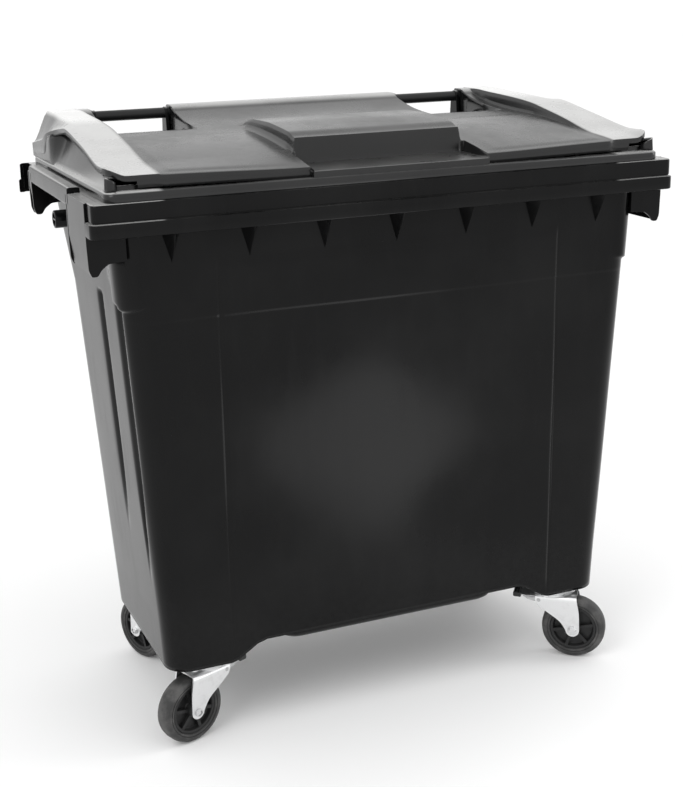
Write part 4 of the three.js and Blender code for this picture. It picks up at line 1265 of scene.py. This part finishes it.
@dataclass
class Castor:
    """A swivel castor: plate and races, a pressed fork, a solid tyre on a ribbed core, and a brake
    pedal in front.

    Its pieces are worked out at the pivot with the wheel trailing along +X, then turned and put in
    place.
    """

    name: str
    trail_angle: float
    brake: bool
    trail: float = 0.057
    wheel: float = 0.080
    tread: float = 0.022  # half width
    core: float = 0.058
    crown: float = 0.170
    leg: float = 0.030  # inner face of a leg
    sheet: float = 4 * MM

    def __post_init__(self) -> None:
        """Reads the pivot's place off the mount plate."""
        low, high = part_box(f"mount_plate_{self.name}")
        self.x, self.y = (low.x + high.x) / 2, (low.y + high.y) / 2
        self.plate_low = high.z - 0.005
        self.plate_top = high.z

    def placed(self, skin: Skin, turn: bool = True) -> Skin:
        """A skin turned to the trail and moved to the pivot."""
        a = math.radians(self.trail_angle if turn else 0)
        c, s = math.cos(a), math.sin(a)
        return moved(skin, lambda v: np.column_stack(
            [self.x + c * v[:, 0] - s * v[:, 1], self.y + s * v[:, 0] + c * v[:, 1], v[:, 2]]))

    def about_axle(self, skin: Skin) -> Skin:
        """A skin made about Z, laid along the axle."""
        return moved(skin, lambda v: np.column_stack(
            [self.trail + v[:, 0], v[:, 2], self.wheel + v[:, 1]]))

    def plate(self) -> Skin:
        """The top plate and the upper race under it."""
        outline = rounded([(-0.052, -0.044), (0.052, -0.044), (0.052, 0.044), (-0.052, 0.044)],
                          0.010, 5)
        race = np.array([(0, 0.1768), (0.0295, 0.1768), (0.0315, 0.1772), (0.0345, 0.1790),
                         (0.036, 0.1806), (0.036, 0.1812), (0, 0.1812)])
        return merged([prism(outline, self.plate_low, self.plate_top, "z"), turned(race, 40)])

    def fork(self) -> Skin:
        """The fork's pressing as one sheet: down one leg, over the crown and down the other, with
        its lower race.

        The sheet's middle line in the YZ plane is an arch with round shoulders. At each height the
        leg reaches from its leading edge to its trailing edge, whose shared lower end is a half
        circle about the axle.
        """
        y_mid, z_mid = self.leg + self.sheet / 2, self.crown - self.sheet / 2
        r, low = 0.008, self.wheel - 0.017
        up = np.concatenate([low + 0.017 * (1 - np.cos(np.linspace(0, math.pi / 2, 7))),
                             np.linspace(self.wheel, z_mid - r, 12)[1:]])
        bend = arc(-y_mid + r, z_mid - r, r, 180, 90, 6)[1:]
        left = np.vstack([np.column_stack([np.full(len(up), -y_mid), up]), bend])
        line = np.vstack([left, [(-0.012, z_mid), (0.012, z_mid)], left[::-1] * (-1, 1)])
        height = line[:, 1]
        round_end = 0.017 * np.sqrt(np.clip(1 - ((height - self.wheel) / 0.017) ** 2, 0, 1))
        nose = -0.040 if self.brake else -0.022
        lead = curve_through([(self.wheel - 0.001, self.trail - 0.017), (0.100, 0.026),
                              (0.135, nose + 0.018), (0.150, nose + 0.002), (0.170, nose)])(height)
        rear = curve_through([(self.wheel - 0.001, self.trail + 0.017), (0.12, self.trail + 0.0155),
                              (0.170, 0.064)])(height)
        lead = np.where(height < self.wheel, self.trail - round_end, lead)
        rear = np.where(height < self.wheel, self.trail + round_end, rear)
        across = 0.5 - 0.5 * np.cos(np.linspace(0, math.pi, 15))
        x = lead[:, None] + (rear - lead)[:, None] * across[None, :]
        step = np.gradient(line, axis=0)
        step /= np.linalg.norm(step, axis=1)[:, None]
        out = np.column_stack([-step[:, 1], step[:, 0]])
        shells = []
        for offset in (self.sheet / 2, -self.sheet / 2):
            p = line + out * offset
            shells.append(np.stack([x, np.broadcast_to(p[:, :1], x.shape),
                                    np.broadcast_to(p[:, 1:], x.shape)], -1))
        outer, inner = shells
        rim_outer = np.concatenate([outer[:, 0], outer[-1, 1:-1], outer[::-1, -1],
                                    outer[0, -2:0:-1]])
        rim_inner = np.concatenate([inner[:, 0], inner[-1, 1:-1], inner[::-1, -1],
                                    inner[0, -2:0:-1]])
        sheet = Skin().grid(outer).grid(inner).grid(
            np.stack([rim_outer, rim_inner]), wrap_columns=True)
        race = np.array([(0, 0.1665), (0.0345, 0.1665), (0.0350, 0.1702), (0.0335, 0.1725),
                         (0.031, 0.1755), (0.0298, 0.1763), (0, 0.1763)])
        return merged([sheet, turned(race, 40)])

    def fasteners(self) -> Skin:
        """The axle's bolt head with its washer, and the threaded end."""
        hexagon = arc(0, 0, 0.0100, 0, 300, 5)
        out = self.leg + self.sheet
        head = prism(hexagon, -out - 0.0100, -out - 0.0022, "z")
        washer = turned(np.array([(0, -out - 0.0022), (0.0115, -out - 0.0022),
                                  (0.012, -out - 0.0017), (0.012, -out - 0.0004),
                                  (0, -out - 0.0004)]), 32)
        shank = turned(np.array([(0, -out), (0.0058, -out), (0.0058, out + 0.0035),
                                 (0.0046, out + 0.0048), (0, out + 0.0048)]), 20)
        return self.about_axle(merged([head, washer, shank]))

    def tyre(self) -> Skin:
        """The tyre: a round-shouldered tread, with two fine grooves and a moulded step on
        each sidewall.
        """
        w, r = self.wheel, self.tread
        half = [(self.core + 0.0004, 0.0), (self.core + 0.0004, r - 0.0030),
                (self.core + 0.0016, r - 0.0014), (0.0635, r - 0.0008), (0.0640, r - 0.0022),
                (0.0652, r - 0.0022), (0.0657, r - 0.0006), (w - 0.0110, r),
                (w - 0.0075, r - 0.0007), (w - 0.0045, r - 0.0026),
                (w - 0.0022, r - 0.0056), (w - 0.0008, r - 0.0095), (w, r - 0.0140), (w, 0.0)]
        profile = np.array(half + [(a, -b) for a, b in half[-2:0:-1]])
        return self.about_axle(closed_ring(profile))

    def wheel_core(self) -> Skin:
        """The core: hub, web and rim, with six ribs each side that leave dark pockets
        between them.
        """
        t = self.tread
        half = [(0.0064, 0.026), (0.0125, 0.026), (0.0145, 0.0255), (0.0165, 0.0235),
                (0.0180, 0.0085), (0.0200, 0.0060),
                (0.0470, 0.0060), (0.0490, 0.0080), (0.0505, t - 0.0045), (0.0520, t - 0.0030),
                (self.core - 0.001, t - 0.0030), (self.core, t - 0.0038)]
        profile = np.array(half + [(a, -b) for a, b in half[::-1]])
        made = [closed_ring(profile)]
        for k in range(6):
            a = math.radians(60 * k + 12)
            c, s = math.cos(a), math.sin(a)
            rib = prism(rounded([(0.0165, -0.0032), (0.0510, -0.0042), (0.0510, 0.0042),
                                 (0.0165, 0.0032)], 0.001, 2), -t + 0.0048, t - 0.0048, "z")
            made.append(moved(rib, lambda v: np.column_stack(
                [c * v[:, 0] - s * v[:, 1], s * v[:, 0] + c * v[:, 1], v[:, 2]])))
        return self.about_axle(merged(made))

    def pedal(self) -> Skin:
        """The brake pedal: a cranked sheet lever with side flanges, a dark ribbed tread and
        its pin.
        """
        line = rounded([(-0.024, 0.157), (-0.058, 0.158), (-0.084, 0.1625), (-0.0945, 0.1625)],
                       0.012, 5, closed=False)
        step = np.gradient(line, axis=0)
        step /= np.linalg.norm(step, axis=1)[:, None]
        normal = np.column_stack([-step[:, 1], step[:, 0]])
        outline = np.vstack([line + normal * 0.0016, (line - normal * 0.0016)[::-1]])
        blade = prism(outline, -0.0215, 0.0215, "y")
        cheek = np.array([(-0.022, 0.1605), (-0.060, 0.1615), (-0.072, 0.1590), (-0.060, 0.1505),
                          (-0.036, 0.1455), (-0.024, 0.1495)])
        pin = moved(turned(np.array([(0, -0.0345), (0.0045, -0.0345), (0.0049, -0.034),
                                     (0.0049, 0.034), (0.0045, 0.0345), (0, 0.0345)]), 20),
                    lambda v: np.column_stack([-0.030 + v[:, 0], v[:, 2], 0.156 + v[:, 1]]))
        return merged([blade, prism(cheek, -0.0215, -0.0185, "y"),
                       prism(cheek, 0.0185, 0.0215, "y"), pin])

    def pedal_pad(self) -> Skin:
        """The pad on the pedal's tip: a thick sleeve with three ribs across its top."""
        sleeve = prism(rounded([(-0.0965, 0.1555), (-0.0765, 0.1545), (-0.0765, 0.1655),
                                (-0.0965, 0.1680)], 0.003, 4), -0.0235, 0.0235, "y")
        ribs = [block(x - 0.0013, x + 0.0013, -0.021, 0.021, 0.1650, 0.1690)
                for x in (-0.0925, -0.0870, -0.0815)]
        return merged([sleeve, *ribs])

    def build(self) -> None:
        """Makes the castor's pieces."""
        n = self.name
        dress(bevelled(self.placed(self.plate(), False).piece(f"castor_plate_{n}"), 0.8 * MM),
              Slot.ZINC, "chassis", [f"mount_plate_{n}"])
        dress(bevelled(self.placed(self.fork()).piece(f"castor_fork_{n}"), 0.8 * MM), Slot.ZINC,
              f"castor_{n}", [f"fork_{n}"])
        dress(bevelled(self.placed(self.fasteners()).piece(f"castor_axle_{n}"), 0.5 * MM),
              Slot.FASTENER, f"castor_{n}", [f"axle_bolt_{n}"])
        dress(self.placed(self.tyre()).piece(f"castor_tyre_{n}"), Slot.TYRE, f"wheel_{n}",
              [f"tyre_{n}"])
        dress(bevelled(self.placed(self.wheel_core()).piece(f"castor_core_{n}"), 0.5 * MM),
              Slot.CORE, f"wheel_{n}", [f"wheel_core_{n}"])
        if self.brake:
            dress(bevelled(self.placed(self.pedal()).piece(f"castor_pedal_{n}"), 0.6 * MM),
                  Slot.PEDAL, f"pedal_{n}", [f"brake_pedal_{n}"])
            dress(bevelled(self.placed(self.pedal_pad()).piece(f"castor_pedal_pad_{n}"), 1.0 * MM),
                  Slot.SEAL, f"pedal_{n}")
        dress_cad(f"axle_nut_{n}", Slot.FASTENER)
        dress_cad(f"kingpin_{n}", Slot.PEDAL)
        for i in range(1, 5):
            dress_cad(f"mount_bolt_{n}_{i}", Slot.FASTENER)


CASTORS = {"front_left": (200, True), "front_right": (-38, True), "rear_left": (115, False),
           "rear_right": (118, False)}


# ------------------------------------------------------------------------------------------- studio
@dataclass
class Studio:
    """A plain pale floor, a white surround, soft lights and the camera."""

    eye: tuple[float, float, float] = (-1.2788, -3.0651, 1.6837)
    heading: float = 0.3950  # from +Y towards +X
    dip: float = 0.2915
    roll: float = -0.0216
    lens: float = 63.72

    def camera(self) -> bpy.types.Object:
        """Sets the scene's camera from its heading, dip and roll, in radians."""
        sin, cos = math.sin, math.cos
        ahead = Vector((sin(self.heading) * cos(self.dip), cos(self.heading) * cos(self.dip),
                        -sin(self.dip)))
        right = ahead.cross(Vector((0, 0, 1))).normalized()
        up = right.cross(ahead)
        right2 = cos(self.roll) * right + sin(self.roll) * up
        up2 = cos(self.roll) * up - sin(self.roll) * right
        data = bpy.data.cameras.new("camera")
        data.lens = self.lens
        data.sensor_width = 36.0
        data.sensor_fit = "AUTO"
        made = bpy.data.objects.new("camera", data)
        made.matrix_world = (Matrix.Translation(self.eye)
                             @ Matrix((right2, up2, -ahead)).transposed().to_4x4())
        bpy.context.scene.collection.objects.link(made)
        bpy.context.scene.camera = made
        return made

    def floor(self) -> bpy.types.Object:
        """A large pale floor, which isn't part of the object."""
        size = 30.0
        corners = np.array([[-size, -size, 0], [size, -size, 0], [size, size, 0], [-size, size, 0]],
                           float)
        made = Skin([corners], [np.array([[0, 1, 2, 3]])], 4).piece("floor", closed=False)
        s = Shader("floor_look")
        tone = s.noise(1.2, 3.0, seed=9.0)
        material = s.finish(Base_Color=s.blend(tone * 0.1, (0.95, 0.95, 0.95), (0.92, 0.92, 0.92)),
                            Roughness=0.9, Specular_IOR_Level=0.1)
        made.data.materials.append(material)
        return made

    def area(self, name: str, place: tuple, target: tuple, size: tuple[float, float],
             watts: float) -> None:
        """A soft oval light at a place, aimed at a target."""
        data = bpy.data.lights.new(name, "AREA")
        data.shape = "ELLIPSE"
        data.size, data.size_y = size
        data.energy = watts
        made = bpy.data.objects.new(name, data)
        made.location = place
        made.rotation_euler = (Vector(target) - Vector(place)).to_track_quat("-Z", "Y").to_euler()
        made.visible_camera = False
        bpy.context.scene.collection.objects.link(made)

    def lights(self) -> None:
        """A bright surround, two soft boxes and a weak low one for the front."""
        world = bpy.data.worlds.new("surround")
        world.use_nodes = True
        world.node_tree.nodes["Background"].inputs["Color"].default_value = (1.0, 1.0, 1.0, 1.0)
        world.node_tree.nodes["Background"].inputs["Strength"].default_value = 1.08
        bpy.context.scene.world = world
        self.area("key", (-3.2, -2.2, 3.6), (0, 0, 0.8), (2.4, 2.4), 45)
        self.area("side", (3.5, -1.0, 2.6), (0, 0, 0.8), (1.6, 2.4), 25)
        self.area("low", (0.38, -1.3, 0.26), (0.10, -0.33, 0.62), (0.55, 0.50), 1.5)

    def build(self) -> None:
        """Makes the whole setting."""
        bpy.context.scene.view_settings.view_transform = "Standard"
        self.camera()
        self.floor()
        self.lights()


def main() -> None:
    """Builds the bin's pieces in order and dresses what stays of the CAD frame."""
    Studio().build()
    tub = Tub()
    dress(tub.body(), Slot.TUB, "chassis", ["tub"])
    dress(tub.base(), Slot.TUB, "chassis")
    Rim().build()
    for side in (-1, 1):
        SideGuard(side).build()
    Lid().build()
    DrainPlug().build()
    dress_cad("drain_seal", Slot.SEAL)
    for end in ("front", "rear"):
        for side in ("left", "right"):
            dress_cad(f"lid_buffer_{end}_{side}", Slot.SEAL)
    for name, (angle, brake) in CASTORS.items():
        Castor(name, angle, brake).build()


if __name__ == "__main__":
    main()
